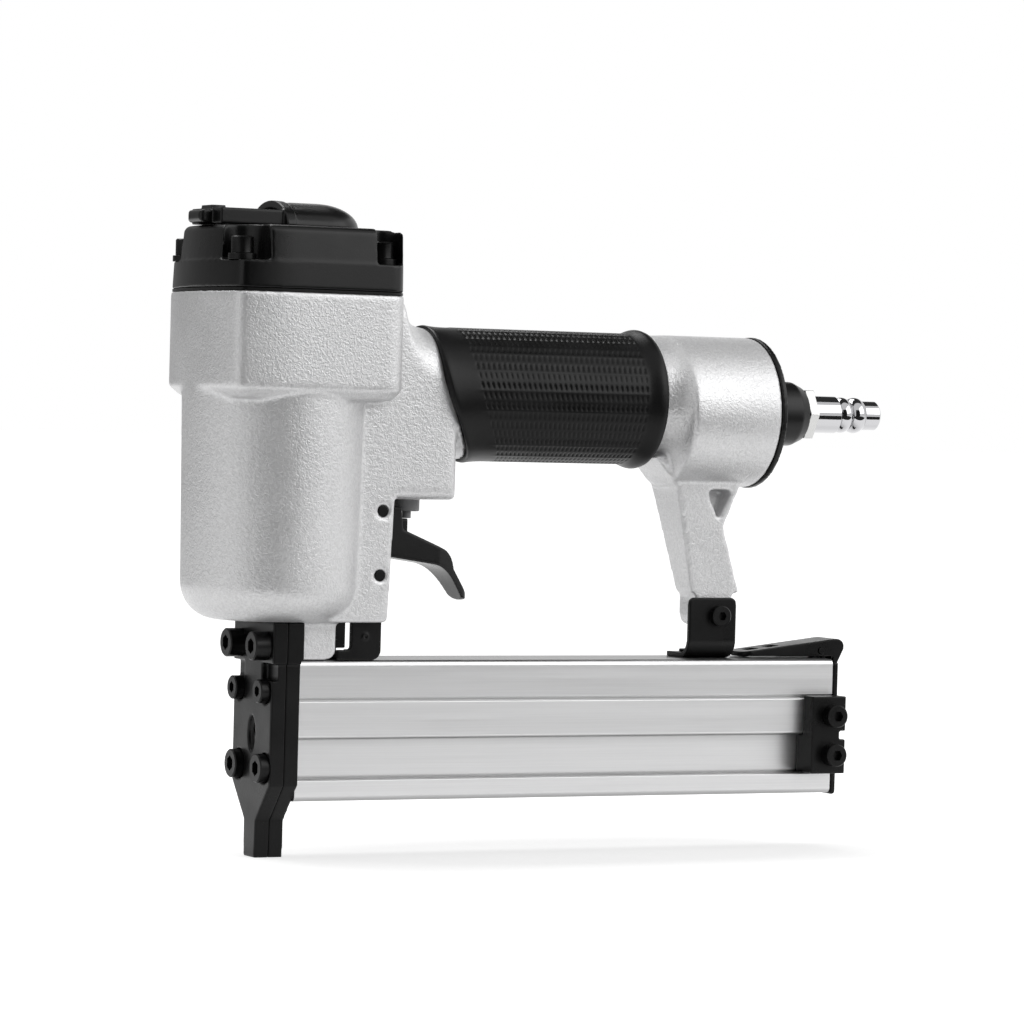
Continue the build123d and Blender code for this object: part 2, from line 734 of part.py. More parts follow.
# Trigger, drawn from its pivot
with BuildPart() as trigger:
    with BuildSketch(Plane(origin=(trigger_pivot_x, 0, trigger_pivot_z), x_dir=REAR, z_dir=LEFT)) as side:
        with BuildLine():
            upper = Polyline((-3.5, 2.0), (10.2, 1.2), (10.9, -5.5), (25.6, -11.6))
            heel = Spline(upper @ 1, (27.9, -14.0), (28.9, -17.2))
            back = Spline(heel @ 1, (31.6, -21.0), (trigger_reach, -25.2))
            tip = ThreePointArc(back @ 1, (34.3, -26.6), (32.9, -trigger_tip_drop))
            under = Spline(tip @ 1, (29.6, -21.8), (26.6, -18.4), (21.0, -15.9))
            Polyline(under @ 1, (5.0, -13.6), (0.5, -11.5), (-3.5, 2.0))
        make_face()
        Circle(trigger_ear_radius)
    extrude(amount=trigger_half, both=True)
    with BuildSketch(Plane.XY.offset(trigger_pivot_z)) as plan:
        with BuildLine():
            half = [
                (trigger_pivot_x - 2 * trigger_ear_radius, trigger_half),
                (trigger_pivot_x + trigger_taper_start, trigger_half),
                (trigger_pivot_x + trigger_reach, trigger_tip_half),
            ]
            Polyline(*half, *[(x, -y) for x, y in reversed(half)], close=True)
        make_face()
        fillet(plan.vertices().group_by(Axis.X)[-1], trigger_tip_half - 0.8)
    extrude(amount=2 * web_height, both=True, mode=Mode.INTERSECT)
    with BuildSketch(Plane.YZ) as front_view:
        with Locations((0, trigger_pivot_z)):
            Rectangle(2 * trigger_half, 2 * trigger_tip_drop)
        fillet(front_view.vertices().group_by(Axis.Y)[0], trigger_half - trigger_tip_half + trigger_tip_round)
    extrude(amount=trigger_pivot_x + 2 * trigger_reach, mode=Mode.INTERSECT)
    with BuildSketch(Plane(origin=(trigger_pivot_x, 0, trigger_pivot_z), x_dir=REAR, z_dir=LEFT)):
        with BuildLine():
            Polyline((-6, 6), (12, 6), (14, -4.5), (25.0, -9.4), (25.0, -13.2), (20.5, -13.6), (5.5, -11.8),
                     (-6, -11), close=True)
        make_face()
    extrude(amount=trigger_half - trigger_wall, both=True, mode=Mode.SUBTRACT)
    pad_top = stem_bottom - seat_gap
    block(trigger_pivot_x + 11.0, valve_x, trigger_rib_half, trigger_pivot_z - 13.4, pad_top)
    rod((trigger_pivot_x, -slot_half + slide_gap, trigger_pivot_z), RIGHT, 3.2, 2 * slot_half - 2 * slide_gap)
    rod((trigger_pivot_x, -slot_half, trigger_pivot_z), RIGHT, pin_radius + pin_play, 2 * slot_half,
        Mode.SUBTRACT)

with BuildPart() as trigger_pin:
    rod((trigger_pivot_x, -spine_half + 0.3, trigger_pivot_z), RIGHT, pin_radius, 2 * spine_half - 0.6)

with BuildPart() as bracket_pin:
    rod((bracket_pin_x, -spine_half + 0.3, bracket_pin_z), RIGHT, pin_radius, 2 * spine_half - 0.6)

# Rubber grip sleeve, its front edge curved round the spine
with BuildPart() as grip_sleeve:
    flare_start = grip_rear - grip_flare_length
    grip_inner = core_radius + fit_gap
    with BuildSketch(Plane.XZ):
        with BuildLine():
            plain = Polyline(
                (grip_rear, handle_level + grip_radius + 0.6 * grip_flare),
                (grip_rear, handle_level + grip_inner),
                (web_front, handle_level + grip_inner),
                (web_front, handle_level + grip_radius),
                (flare_start, handle_level + grip_radius),
            )
            Spline(
                plain @ 1,
                (grip_rear - 0.25 * grip_flare_length, handle_level + grip_radius + grip_flare),
                plain @ 0,
                tangents=[(1, 0), (0.7, -1)],
            )
        make_face()
    revolve(axis=Axis((0, 0, handle_level), REAR))
    with BuildSketch(Plane.XZ):
        with BuildLine():
            edge = sleeve_edge(0)
            Polyline(
                edge @ 1,
                (web_front - 1, handle_level - 2 * grip_radius),
                (web_front - 1, handle_level + 2 * grip_radius),
                edge @ 0,
            )
        make_face()
    extrude(amount=2 * grip_radius, both=True, mode=Mode.SUBTRACT)

# End cap and hose plug
with BuildPart() as end_cap:
    rod((barrel_rear, 0, barrel_level), REAR, barrel_radius + 0.2, end_flange)
    rod((barrel_rear - 9, 0, barrel_level), REAR, barrel_radius - barrel_wall - fit_gap, 9)
    with BuildSketch(Plane.XZ):
        with BuildLine():
            Polyline(
                (end_flange_rear - 1, barrel_level),
                (end_flange_rear - 1, barrel_level + end_hub_radius + 2.5),
                (end_flange_rear, barrel_level + end_hub_radius + 2.5),
                (end_flange_rear + 3.0, barrel_level + end_hub_radius),
                (hub_rear - 3.5, barrel_level + end_hub_radius),
                (hub_rear, barrel_level + end_hub_radius - 1.6),
                (hub_rear, barrel_level),
                close=True,
            )
        make_face()
    revolve(axis=Axis((0, 0, barrel_level), REAR))
    rod((barrel_rear - 10, 0, barrel_level), REAR, barrel_radius - barrel_wall - 3, 9.5, Mode.SUBTRACT)
    rod((barrel_rear - 2, 0, barrel_level), REAR, plug_shank_radius + fit_gap, 40, Mode.SUBTRACT)
    seal_groove((barrel_rear - 4, 0, barrel_level), REAR, barrel_radius - barrel_wall, small_ring)

with BuildPart() as end_cap_seal:
    seal_ring((barrel_rear - 4, 0, barrel_level), REAR, barrel_radius - barrel_wall, small_ring)

with BuildPart() as air_plug:
    with BuildSketch(Plane.YZ.offset(hub_rear + seat_gap)):
        with Locations((0, barrel_level)):
            RegularPolygon(plug_hex / 2, 6, major_radius=False)
    extrude(amount=plug_hex_length)
    rod((hub_rear - 9, 0, barrel_level), REAR, plug_shank_radius, 10)
    with BuildSketch(Plane.XZ):
        with BuildLine():
            start = Polyline((hex_rear - 1, barrel_level), (hex_rear - 1, barrel_level + plug_barrel_radius),
                             (plug_end - 15.3, barrel_level + plug_barrel_radius),
                             (plug_end - 14.7, barrel_level + 4.6))
            first = ThreePointArc(start @ 1, (plug_end - 12.5, barrel_level + 5.6),
                                  (plug_end - 10.2, barrel_level + 4.3))
            second = ThreePointArc(first @ 1, (plug_end - 8.0, barrel_level + 5.6),
                                   (plug_end - 5.6, barrel_level + 4.6))
            Polyline(second @ 1, (plug_end - 0.6, barrel_level + 4.6), (plug_end, barrel_level + 4.0),
                     (plug_end, barrel_level), (hex_rear - 1, barrel_level))
        make_face()
    revolve(axis=Axis((0, 0, barrel_level), REAR))
    rod((barrel_rear, 0, barrel_level), REAR, plug_bore, 2 * (hex_rear - barrel_rear), Mode.SUBTRACT)

# Nose plates
nose_outline = nose_face(nose_head_half)
with BuildPart() as front_plate:
    with BuildSketch(Plane.YZ.offset(plate_front)):
        add(nose_outline)
    extrude(amount=plate_thickness)
    for face in (-1, 1):
        with Locations((plate_front, face * plate_half, nose_height - nose_head_height - 2.5)):
            Box(4.0, 15.0, 5.0, mode=Mode.SUBTRACT)
    with BuildSketch(Plane.YZ.offset(plate_front)):
        with Locations((0, nose_height - 33.5)):
            Ellipse(2.5, 5.2)
    extrude(amount=1.2, mode=Mode.SUBTRACT)
    rod((plate_front - 1, 0, nose_height - 32), REAR, 1.6, 3.4, Mode.SUBTRACT)
    block(plate_parting - 0.5, plate_parting + 1, driver_width / 2 + 0.15, -1, nose_height + 1, Mode.SUBTRACT)
    for y in (-screw_spread, screw_spread):
        for level, size, sink in (
            (nose_screw_z, m5, 0),
            (guide_screw_z, m4, guide_screw_sink),
            (tip_screw_z, m5, tip_screw_sink),
        ):
            rod((plate_front - 1, y, level), REAR, size[0] + seat_gap, plate_thickness + 2, Mode.SUBTRACT)
            rod((plate_front - 1, y, level), REAR, size[1] + head_gap, sink + 1, Mode.SUBTRACT)

with BuildPart() as driver_guide:
    with BuildSketch(Plane.YZ.offset(plate_parting)):
        add(nose_outline)
    extrude(amount=guide_thickness)
    block(plate_parting, guide_head_rear, nose_head_half, magazine_top + seat_gap, nose_top)
    block(plate_parting - 1, plate_parting + 0.95, driver_width / 2 + 0.15, -1, nose_height + 1, Mode.SUBTRACT)
    block(plate_parting, guide_rear + 1, 0.9, channel_bottom - 1, rail_top, Mode.SUBTRACT)
    for y in (-screw_spread, screw_spread):
        for level, hole in (
            (nose_screw_z, m5[0] + seat_gap),
            (guide_screw_z, m4[0] + fit_gap),
            (tip_screw_z, m5[0] + fit_gap),
        ):
            rod((plate_parting - 1, y, level), REAR, hole, guide_head_thickness + 2, Mode.SUBTRACT)

nose_screw = socket_screw(m5, plate_thickness + guide_head_thickness + nose_thread)
guide_screw = socket_screw(m4, plate_thickness + guide_thickness - guide_screw_sink - slide_gap)
tip_screw = socket_screw(m5, plate_thickness + guide_thickness - tip_screw_sink - slide_gap)


def on_nose(level, sink):
    """Places on the front plate for a pair of screws, heads to the front and sunk by a depth."""
    return [Plane(origin=(plate_front + sink, y, level), z_dir=FRONT) for y in (-screw_spread, screw_spread)]


with BuildPart() as nose_screws:
    with Locations(*on_nose(nose_screw_z, 0)):
        add(nose_screw)

with BuildPart() as guide_screws:
    with Locations(*on_nose(guide_screw_z, guide_screw_sink)):
        add(guide_screw)

with BuildPart() as tip_screws:
    with Locations(*on_nose(tip_screw_z, tip_screw_sink)):
        add(tip_screw)

# Magazine extrusion with a deep channel along each side
with BuildPart() as magazine_body:
    with BuildSketch(Plane.YZ.offset(magazine_front)) as section:
        with Locations((0, (magazine_top + magazine_bottom) / 2)):
            Rectangle(2 * magazine_half, magazine_height)
        fillet(section.vertices(), magazine_round)
        for face in (-1, 1):
            with Locations((face * magazine_half, (channel_top + channel_bottom) / 2)):
                Rectangle(2 * channel_depth, channel_top - channel_bottom, mode=Mode.SUBTRACT)
            fillet(section.vertices().sort_by_distance((face * magazine_half, channel_top))[0], channel_round)
            chamfer(section.vertices().sort_by_distance((face * magazine_half, channel_bottom))[0], lip_edge)
            for depth, level in (
                (magazine_half, magazine_bottom + groove_level),
                (magazine_half - channel_depth, channel_bottom + groove_width / 2),
            ):
                with Locations((face * depth, level)):
                    Rectangle(2 * groove_depth, groove_width, mode=Mode.SUBTRACT)
            eased = (groove_width / 2 + groove_edge) * 2 ** 0.5
            with Locations((face * magazine_half, magazine_bottom + groove_level)):
                Rectangle(eased, eased, rotation=45, mode=Mode.SUBTRACT)
        with Locations((0, channel_top + magazine_wall)):
            Rectangle(2 * cavity_half, magazine_top - channel_top - 2 * magazine_wall,
                      align=(Align.CENTER, Align.MIN), mode=Mode.SUBTRACT)
        with Locations((0, magazine_bottom + magazine_wall)):
            Rectangle(2 * waist_half, magazine_height - 2 * magazine_wall,
                      align=(Align.CENTER, Align.MIN), mode=Mode.SUBTRACT)
            Rectangle(2 * cavity_half, channel_low - 2 * magazine_wall,
                      align=(Align.CENTER, Align.MIN), mode=Mode.SUBTRACT)
    extrude(amount=magazine_length)
    block(latch_front + 0.8, latch_front + 5.4, tooth_half + slide_gap, magazine_top - 5, magazine_top + 1,
          Mode.SUBTRACT)
    for x, y in rivet_places:
        rod((x, y, magazine_top - 5), UP, rivet_radius + fit_gap, 10, Mode.SUBTRACT)
    rod((block_screw_x, 0, block_screw_high), LEFT, m4[0] + fit_gap, 30, Mode.SUBTRACT)

# Sheet brackets that carry the magazine
toe_front = foot_rear + 0.5
ear_half = slot_half - slide_gap
with BuildPart() as front_bracket:
    with BuildSketch(Plane.XZ) as ear:
        with BuildLine():
            Polyline(
                (toe_front, magazine_top),
                (front_ear_rear, magazine_top),
                (front_ear_rear, casting_bottom - seat_gap),
                (front_ear_rear - 0.8, bracket_pin_z + 4),
                (slot_front + 0.6, bracket_pin_z + 4),
                (slot_front + 0.6, casting_bottom - seat_gap),
                (front_ear_front, casting_bottom - seat_gap),
                (front_ear_front, magazine_top + front_toe_height),
                (toe_front, magazine_top + front_toe_height),
                close=True,
            )
        make_face()
        fillet(ear.vertices().sort_by_distance((front_ear_rear, magazine_top))[0], 3.0)
        fillet(ear.vertices().sort_by_distance((front_ear_front, magazine_top + front_toe_height))[0],
               front_toe_round)
    extrude(amount=ear_half, both=True)
    block(0, 60, ear_half - sheet, magazine_top + sheet, casting_bottom + 40, Mode.SUBTRACT)
    with Locations((far_ear_rear, 0, 0)):
        Box(2 * sheet, 2 * slot_half, 3 * casting_bottom, align=(Align.MIN, Align.MIN, Align.CENTER),
            mode=Mode.SUBTRACT)
    with Locations((front_ear_rear - 5.0, ear_half - sheet, magazine_top)):
        Box(2 * slot_half, 2 * sheet, far_ear_lift, align=(Align.MIN, Align.MIN, Align.MIN), mode=Mode.SUBTRACT)
    dot_z = magazine_top + ear_dot_rise
    rod((ear_dot_x, -ear_half - 0.3, dot_z), RIGHT, 1.0, 0.6)
    rod((ear_dot_x, -ear_half - 1, dot_z), RIGHT, 0.55, 1.2, Mode.SUBTRACT)
    rod((bracket_pin_x, -slot_half, bracket_pin_z), RIGHT, pin_radius + fit_gap, 2 * slot_half, Mode.SUBTRACT)
    rod((*rivet_places[0], magazine_top - 1), UP, rivet_radius + fit_gap, 5, Mode.SUBTRACT)

# Angle bracket: an ear on the tongue's near side and a foot that reaches under it
rear_ear_inner = tongue_half + seat_gap
rear_ear_outer = rear_ear_inner + sheet
with BuildPart() as rear_bracket:
    with BuildSketch(Plane.YZ.offset(rear_ear_front)) as angle:
        with Locations((-rear_ear_outer, magazine_top)):
            Rectangle(2 * rear_ear_outer, rear_ear_top - magazine_top, align=(Align.MIN, Align.MIN))
        fillet(angle.vertices().sort_by_distance((-rear_ear_outer, magazine_top))[0], rear_bend)
        with BuildSketch(mode=Mode.SUBTRACT) as inside:
            with Locations((-rear_ear_inner, magazine_top + sheet)):
                Rectangle(2 * rear_ear_outer, rear_ear_top - magazine_top, align=(Align.MIN, Align.MIN))
            fillet(inside.vertices().sort_by_distance((-rear_ear_inner, magazine_top))[0], rear_bend - sheet)
    extrude(amount=rear_ear_rear - rear_ear_front)
    ear_tops = rear_bracket.edges().filter_by(Axis.Y).group_by(Axis.Z)[-1]
    fillet(ear_tops, 2.0)
    rod((rear_screw_x, -rear_ear_outer - 1, rear_screw_z), RIGHT, m4[0] + seat_gap, sheet + 2, Mode.SUBTRACT)
    rod((*rivet_places[1], magazine_top - 1), UP, rivet_radius + fit_gap, 5, Mode.SUBTRACT)

with BuildPart() as bracket_rivets:
    for x, y in rivet_places:
        rod((x, y, magazine_top - magazine_wall - 0.6), UP, rivet_radius, magazine_wall + sheet + 1.2)
        rod((x, y, magazine_top - magazine_wall - 0.7), UP, rivet_head, 0.7)
        rod((x, y, magazine_top + sheet), UP, rivet_head, 0.9)

rear_screw = socket_screw(low_m4, 2 * tongue_half - 1)
with BuildPart() as rear_bracket_screw:
    with Locations(Plane(origin=(rear_screw_x, -rear_ear_outer, rear_screw_z), z_dir=LEFT)):
        add(rear_screw)

# Sliding rail with its slot for brads
rail_front = magazine_front + slide_gap
foot_low = magazine_bottom + magazine_wall + 0.2
with BuildPart() as nail_rail:
    block(rail_front, end_plate_front, rail_half, foot_low, rail_top)
    block(rail_front, end_plate_front, cavity_half - 0.4, foot_low, channel_bottom - magazine_wall - 0.3)
    block(rail_shoe_front, rail_shoe_front + rail_shoe_length, cavity_half - 0.5,
          channel_top + magazine_wall + 1, pocket_high - slide_gap)
    block(rail_front - 1, end_plate_front - 3, rail_slot_half, magazine_bottom + 8, rail_top + 1, Mode.SUBTRACT)
    block(rail_front - 1, end_plate_front - 3, pocket_half, pocket_low, pocket_high, Mode.SUBTRACT)

with BuildPart() as pusher:
    pusher_rear = rail_front + 0.4 + pusher_length
    block(rail_front + 0.4, pusher_rear, pocket_half - slide_gap, pocket_low + slide_gap, pocket_high - slide_gap)
    block(rail_front + 0.4, pusher_rear, rail_slot_half - slide_gap, magazine_bottom + 8.4, rail_top - 0.5)
    roll_x = pusher_rear - 7.5
    roll_z = (pocket_low + pocket_high) / 2
    rod((roll_x, -2.8, roll_z), RIGHT, roll_radius + seat_gap, 5.6, Mode.SUBTRACT)
    rod((roll_x, -2.8, roll_z), RIGHT, 2.0, 5.6)

with BuildPart() as pusher_spring:
    rod((roll_x, -2.6, roll_z), RIGHT, roll_radius, 5.2)
    rod((roll_x, -2.6, roll_z), RIGHT, 2.0 + fit_gap, 5.2, Mode.SUBTRACT)

with BuildPart() as rail_end_plate:
    block(end_plate_front, end_plate_rear, magazine_half, magazine_bottom - 0.5, magazine_top - 1.0)
    low_edges = rail_end_plate.edges().filter_by(Axis.Y).group_by(Axis.Z)[0]
    fillet(low_edges.sort_by(Axis.X)[-1], end_plate_thickness - 0.4)
    block(end_plate_front, end_plate_rear, strip_half, magazine_bottom, magazine_top + 1.7)
    block(magazine_rear - strip_length, end_plate_rear, strip_half, magazine_top + 0.4, magazine_top + 1.7)
    block(latch_pivot_x - 3, latch_pivot_x + 3, coil_length / 2 + 0.2, magazine_top - 1, magazine_top + 3,
          Mode.SUBTRACT)
    for face in (-1, 1):
        with Locations((latch_pivot_x, face * (strip_half - 0.75), magazine_top + 0.4)):
            Box(3.0, 1.5, 3.6, align=FROM_BASE)
    rod((latch_pivot_x, -strip_half - 1, latch_pivot_z), RIGHT, latch_pin_radius + fit_gap, 2 * strip_half + 2,
        Mode.SUBTRACT)

# Latch lever, a pressed channel with a rolled rear end
latch_high = magazine_top + latch_rise
latch_crest = latch_rear - 3.6
with BuildPart() as latch_lever:
    with BuildSketch(Plane.XZ) as side:
        with BuildLine():
            Polyline(
                (latch_front, magazine_top + 1.9),
                (latch_crest, latch_high),
                (latch_rear, latch_high),
                (latch_rear, magazine_top + 3.0),
                (latch_rear - 2.7, magazine_top - 2.3),
                (latch_rear - 3.8, magazine_top - 2.3),
                (latch_rear - 3.8, magazine_top + 0.6),
                (latch_front, magazine_top + 0.6),
                close=True,
            )
        make_face()
        fillet(side.vertices().sort_by_distance((latch_rear, latch_high))[0], 2.4)
        fillet(side.vertices().sort_by_distance((latch_rear, magazine_top + 3.0))[0], 2.0)
        fillet(side.vertices().sort_by_distance((latch_crest, latch_high))[0], 8.0)
    extrude(amount=latch_half, both=True)
    fillet(latch_lever.faces().sort_by(Axis.X)[0].edges().filter_by(Axis.Z), latch_half - 2)
    with BuildSketch(Plane.XZ):
        with BuildLine():
            Polyline(
                (latch_front + 4.0, magazine_top + 0.6),
                (latch_front + 6.0, magazine_top + 1.9),
                (latch_crest, latch_high - latch_roof),
                (latch_rear - 2.4, latch_high - latch_roof),
                (latch_rear - latch_sheet, latch_high - 2.4),
                (latch_rear - latch_sheet, magazine_top + 3.0),
                (latch_rear - 3.9, magazine_top - 0.6),
                (latch_rear - 3.9, magazine_top - 3.0),
                (latch_front + 4.0, magazine_top - 3.0),
                close=True,
            )
        make_face()
    extrude(amount=latch_half - latch_sheet, both=True, mode=Mode.SUBTRACT)
    block(latch_front + 1.2, latch_front + 2.8, tooth_half, magazine_top + slide_gap, magazine_top + 1.4)
    for place in (latch_front + 4.0, latch_front + 11.2):
        block(place, place + 3.6, window_half, magazine_top, latch_high + 1, Mode.SUBTRACT)
    rod((latch_pivot_x, -latch_half - 1, latch_pivot_z), RIGHT, latch_pin_radius + pin_play, 2 * latch_half + 2,
        Mode.SUBTRACT)

with BuildPart() as latch_pin:
    rod((latch_pivot_x, -latch_half - 0.3, latch_pivot_z), RIGHT, latch_pin_radius, 2 * latch_half + 0.6)

latch_coil = coil(latch_pin_radius + 0.42, 0.35, coil_length, 4)
with BuildPart() as latch_spring:
    with Locations(Plane(origin=(latch_pivot_x, -coil_length / 2, latch_pivot_z), z_dir=RIGHT)):
        add(latch_coil)

# Stop block on the side of the magazine
with BuildPart() as side_block:
    with Locations(((block_front + block_rear) / 2, -magazine_half, block_low)):
        Box(block_rear - block_front, block_face - magazine_half, block_high - block_low,
            align=(Align.CENTER, Align.MAX, Align.MIN))
    with Locations(((block_front + magazine_rear) / 2, -magazine_half, block_low)):
        Box(magazine_rear - block_front, channel_depth - seat_gap, channel_top - block_low - seat_gap,
            align=(Align.CENTER, Align.MIN, Align.MIN))
    with Locations((block_rear, -block_face, (block_screw_low + block_screw_high) / 2)):
        Box(2 * block_notch, 20, 2.6, mode=Mode.SUBTRACT)
    for z in (block_screw_low, block_screw_high):
        rod((block_screw_x, -block_face - 1, z), RIGHT, m4[0] + fit_gap, block_screw_length + 1.2, Mode.SUBTRACT)

block_screw = socket_screw(m4, block_screw_length)
with BuildPart() as side_block_screws:
    with Locations(*[
        Plane(origin=(block_screw_x, -block_face, z), z_dir=LEFT)
        for z in (block_screw_low, block_screw_high)
    ]):
        add(block_screw)

pieces = {
    "body_casting": body_casting,
    "head_gasket": head_gasket,
    "cylinder_cap": cylinder_cap,
    "cap_screws": cap_screws,
    "cap_washers": cap_washers,
    "exhaust_deflector": exhaust_deflector,
    "deflector_screw": deflector_screw,
    "cylinder_sleeve": cylinder_sleeve,
    "sleeve_seal": sleeve_seal,
    "bumper": bumper,
    "piston": piston,
    "piston_ring": piston_ring,
    "driver_blade": driver_blade,
    "head_valve": head_valve,
    "head_valve_seal": head_valve_seal,
    "head_valve_spring": head_valve_spring,
    "trigger_valve_housing": trigger_valve_housing,
    "trigger_valve_seals": trigger_valve_seals,
    "trigger_valve_stem": trigger_valve_stem,
    "trigger_valve_spring": trigger_valve_spring,
    "trigger": trigger,
    "trigger_pin": trigger_pin,
    "bracket_pin": bracket_pin,
    "grip_sleeve": grip_sleeve,
    "end_cap": end_cap,
    "end_cap_seal": end_cap_seal,
    "air_plug": air_plug,
    "front_plate": front_plate,
    "driver_guide": driver_guide,
    "nose_screws": nose_screws,
    "guide_screws": guide_screws,
    "tip_screws": tip_screws,
    "magazine_body": magazine_body,
    "front_bracket": front_bracket,
    "rear_bracket": rear_bracket,
    "bracket_rivets": bracket_rivets,
    "rear_bracket_screw": rear_bracket_screw,
    "nail_rail": nail_rail,
    "pusher": pusher,
    "pusher_spring": pusher_spring,
    "rail_end_plate": rail_end_plate,
    "latch_lever": latch_lever,
    "latch_pin": latch_pin,
    "latch_spring": latch_spring,
    "side_block": side_block,
    "side_block_screws": side_block_screws,
}
for name, piece in pieces.items():
    piece.part.label = name
    export_step(piece.part, f"parts/{name}.step")
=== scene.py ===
import json
import math

import bmesh
import bpy
from mathutils import Matrix, Vector


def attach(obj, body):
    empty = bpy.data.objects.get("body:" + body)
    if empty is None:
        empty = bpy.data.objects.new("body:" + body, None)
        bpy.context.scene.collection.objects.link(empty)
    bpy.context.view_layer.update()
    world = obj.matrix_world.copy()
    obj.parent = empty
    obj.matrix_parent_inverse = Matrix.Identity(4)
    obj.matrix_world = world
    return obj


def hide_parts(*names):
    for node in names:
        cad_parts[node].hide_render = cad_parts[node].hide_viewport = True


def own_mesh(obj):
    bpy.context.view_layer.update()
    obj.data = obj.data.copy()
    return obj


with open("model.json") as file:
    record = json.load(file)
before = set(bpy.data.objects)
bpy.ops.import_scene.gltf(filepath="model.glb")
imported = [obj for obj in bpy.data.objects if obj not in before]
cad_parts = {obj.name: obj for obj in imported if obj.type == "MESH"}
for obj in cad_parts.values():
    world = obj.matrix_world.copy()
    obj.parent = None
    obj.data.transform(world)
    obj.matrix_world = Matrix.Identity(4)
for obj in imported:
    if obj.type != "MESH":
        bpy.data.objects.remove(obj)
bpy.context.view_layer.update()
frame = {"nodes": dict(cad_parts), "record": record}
nodes = frame["nodes"]
record = frame["record"]
body_of = {node: body for body, names in record["behaviour"]["bodies"].items() for node in names}

MM = 0.001

# Camera, matched to the photo: place in metres, angles in degrees, lens and sensor in millimetres
CAMERA_PLACE = (-0.53533, -1.21748, 0.13410)
CAMERA_YAW = 26.791
CAMERA_PITCH = -1.312
CAMERA_ROLL = 1.497
CAMERA_LENS = 158.2
CAMERA_SENSOR = 36.0

# Meshes: distance within which points are merged, in mm, and angles in degrees
WELD = 0.002
FLAT_ANGLE = 0.3
BEVEL_ANGLE = 30
SMOOTH_ALL = 180
COIL_CREASE = 60
SCREW_CREASE = 40
SLEEVE_CREASE = 70

# Cast, moulded and sheet pieces that get rounded edges: voxel in mm, smoothing passes, finish
SOFT_PIECES = {
    "body_casting": (0.6, 14, "cast"),
    "cylinder_cap": (0.45, 4, "moulded"),
    "exhaust_deflector": (0.3, 4, "moulded"),
    "end_cap": (0.4, 4, "moulded"),
    "trigger": (0.3, 5, "moulded"),
    "front_plate": (0.35, 3, "blackened"),
    "driver_guide": (0.35, 3, "blackened"),
    "front_bracket": (0.3, 3, "blackened"),
    "rear_bracket": (0.3, 3, "blackened"),
    "latch_lever": (0.3, 3, "blackened"),
    "rail_end_plate": (0.35, 3, "blackened"),
    "side_block": (0.3, 4, "blackened"),
    "trigger_valve_housing": (0.3, 3, "grey"),
}
SMOOTH_FACTOR = 0.5
# A rounded piece with more faces than this is thinned, to stay under 200,000 triangles
SOFT_FACES = 98000
# Room that the driver blade leaves in the rounded nose plates, in mm
BLADE_ROOM = 0.2

# CAD nodes that keep their shape, by finish
KEPT_NODES = {
    "grey": ["head_valve", "trigger_valve_stem"],
    "rubber": ["head_gasket", "sleeve_seal", "bumper", "piston_ring", "head_valve_seal",
               "trigger_valve_seals", "end_cap_seal"],
    "blackened": ["deflector_screw", "pusher"],
    "bright": ["pusher_spring", "latch_spring"],
    "drawn": ["cylinder_sleeve", "piston", "nail_rail"],
}
# CAD nodes with crisp edges that get a small bevel: width in mm, finish
BEVELLED_PIECES = {
    "magazine_body": (0.2, "extruded"),
    "air_plug": (0.2, "chrome"),
    "cap_washers": (0.12, "blackened"),
    "trigger_pin": (0.3, "blackened"),
    "bracket_pin": (0.3, "blackened"),
    "bracket_rivets": (0.3, "blackened"),
    "latch_pin": (0.2, "blackened"),
}
BEVEL_STEPS = 2

# Socket screws in mm: thread radius and length, head radius and height, key size and depth
M5_SCREW = (2.5, 8.0, 4.25, 5.0, 4.0, 2.5)
M4_SCREW = (2.0, 6.0, 3.5, 4.0, 3.0, 2.0)
TALL_SCREW = (2.0, 6.0, 3.3, 5.0, 3.0, 2.0)
TIP_SCREW = (2.5, 6.0, 4.25, 5.0, 4.0, 2.5)
LOW_SCREW = (2.0, 6.0, 3.2, 2.6, 2.5, 1.6)
# Where the undersides of their heads sit, in mm, and how they are turned
TO_FRONT = (0.0, -math.pi / 2, 0.0)
TO_SIDE = (math.pi / 2, 0.0, 0.0)
UPRIGHT = (0.0, 0.0, 0.0)
NOSE_SIDES = (-9.4, 9.4)
SCREWS = {
    "cap_screws": (TALL_SCREW, UPRIGHT, [(x, y, 177.0) for x in (-20.5, 24.2) for y in (-20.8, 20.8)]),
    "nose_screws": (M5_SCREW, TO_FRONT, [(-4.8, y, 62.8) for y in NOSE_SIDES]),
    "guide_screws": (M4_SCREW, TO_FRONT, [(-3.5, y, 49.5) for y in NOSE_SIDES]),
    "tip_screws": (TIP_SCREW, TO_FRONT, [(-2.5, y, 26.9) for y in NOSE_SIDES]),
    "side_block_screws": (M4_SCREW, TO_SIDE, [(183.5, -17.8, z) for z in (29.4, 41.5)]),
    "rear_bracket_screw": (LOW_SCREW, TO_SIDE, [(148.2, -7.1, 71.9)]),
}
THREAD_SIDES = 24
# Their heads: number of knurls, then the depth of a knurl and the size of the rims in mm
KNURLS = 30
KNURL_DEPTH = 0.09
HEAD_EDGE = 0.35
# Heights of the rims' rows, from the foot up, and the foot's inset, as shares of the rim size
RIM_SHARES = (0.6, 0.7, 0.7, 1.0)
FOOT_INSET = 0.5

# Hose plug in mm: the rear of its hex, and the step in gloss behind it
HEX_REAR = 181.6
HEX_STEP = 0.3
# Painted shade on the magazine's top, edges and grooves: level and reach in mm, strength
MAGAZINE_SHADE_LINES = (
    (58.9, 0.8, 0.85),
    (47.05, 0.5, 0.5),
    (35.43, 0.8, 0.55),
    (23.6, 0.6, 0.55),
    (17.0, 1.6, 0.5),
)
# Colour of that painted shade
SEAM_SHADE = (0.1, 0.1, 0.1)

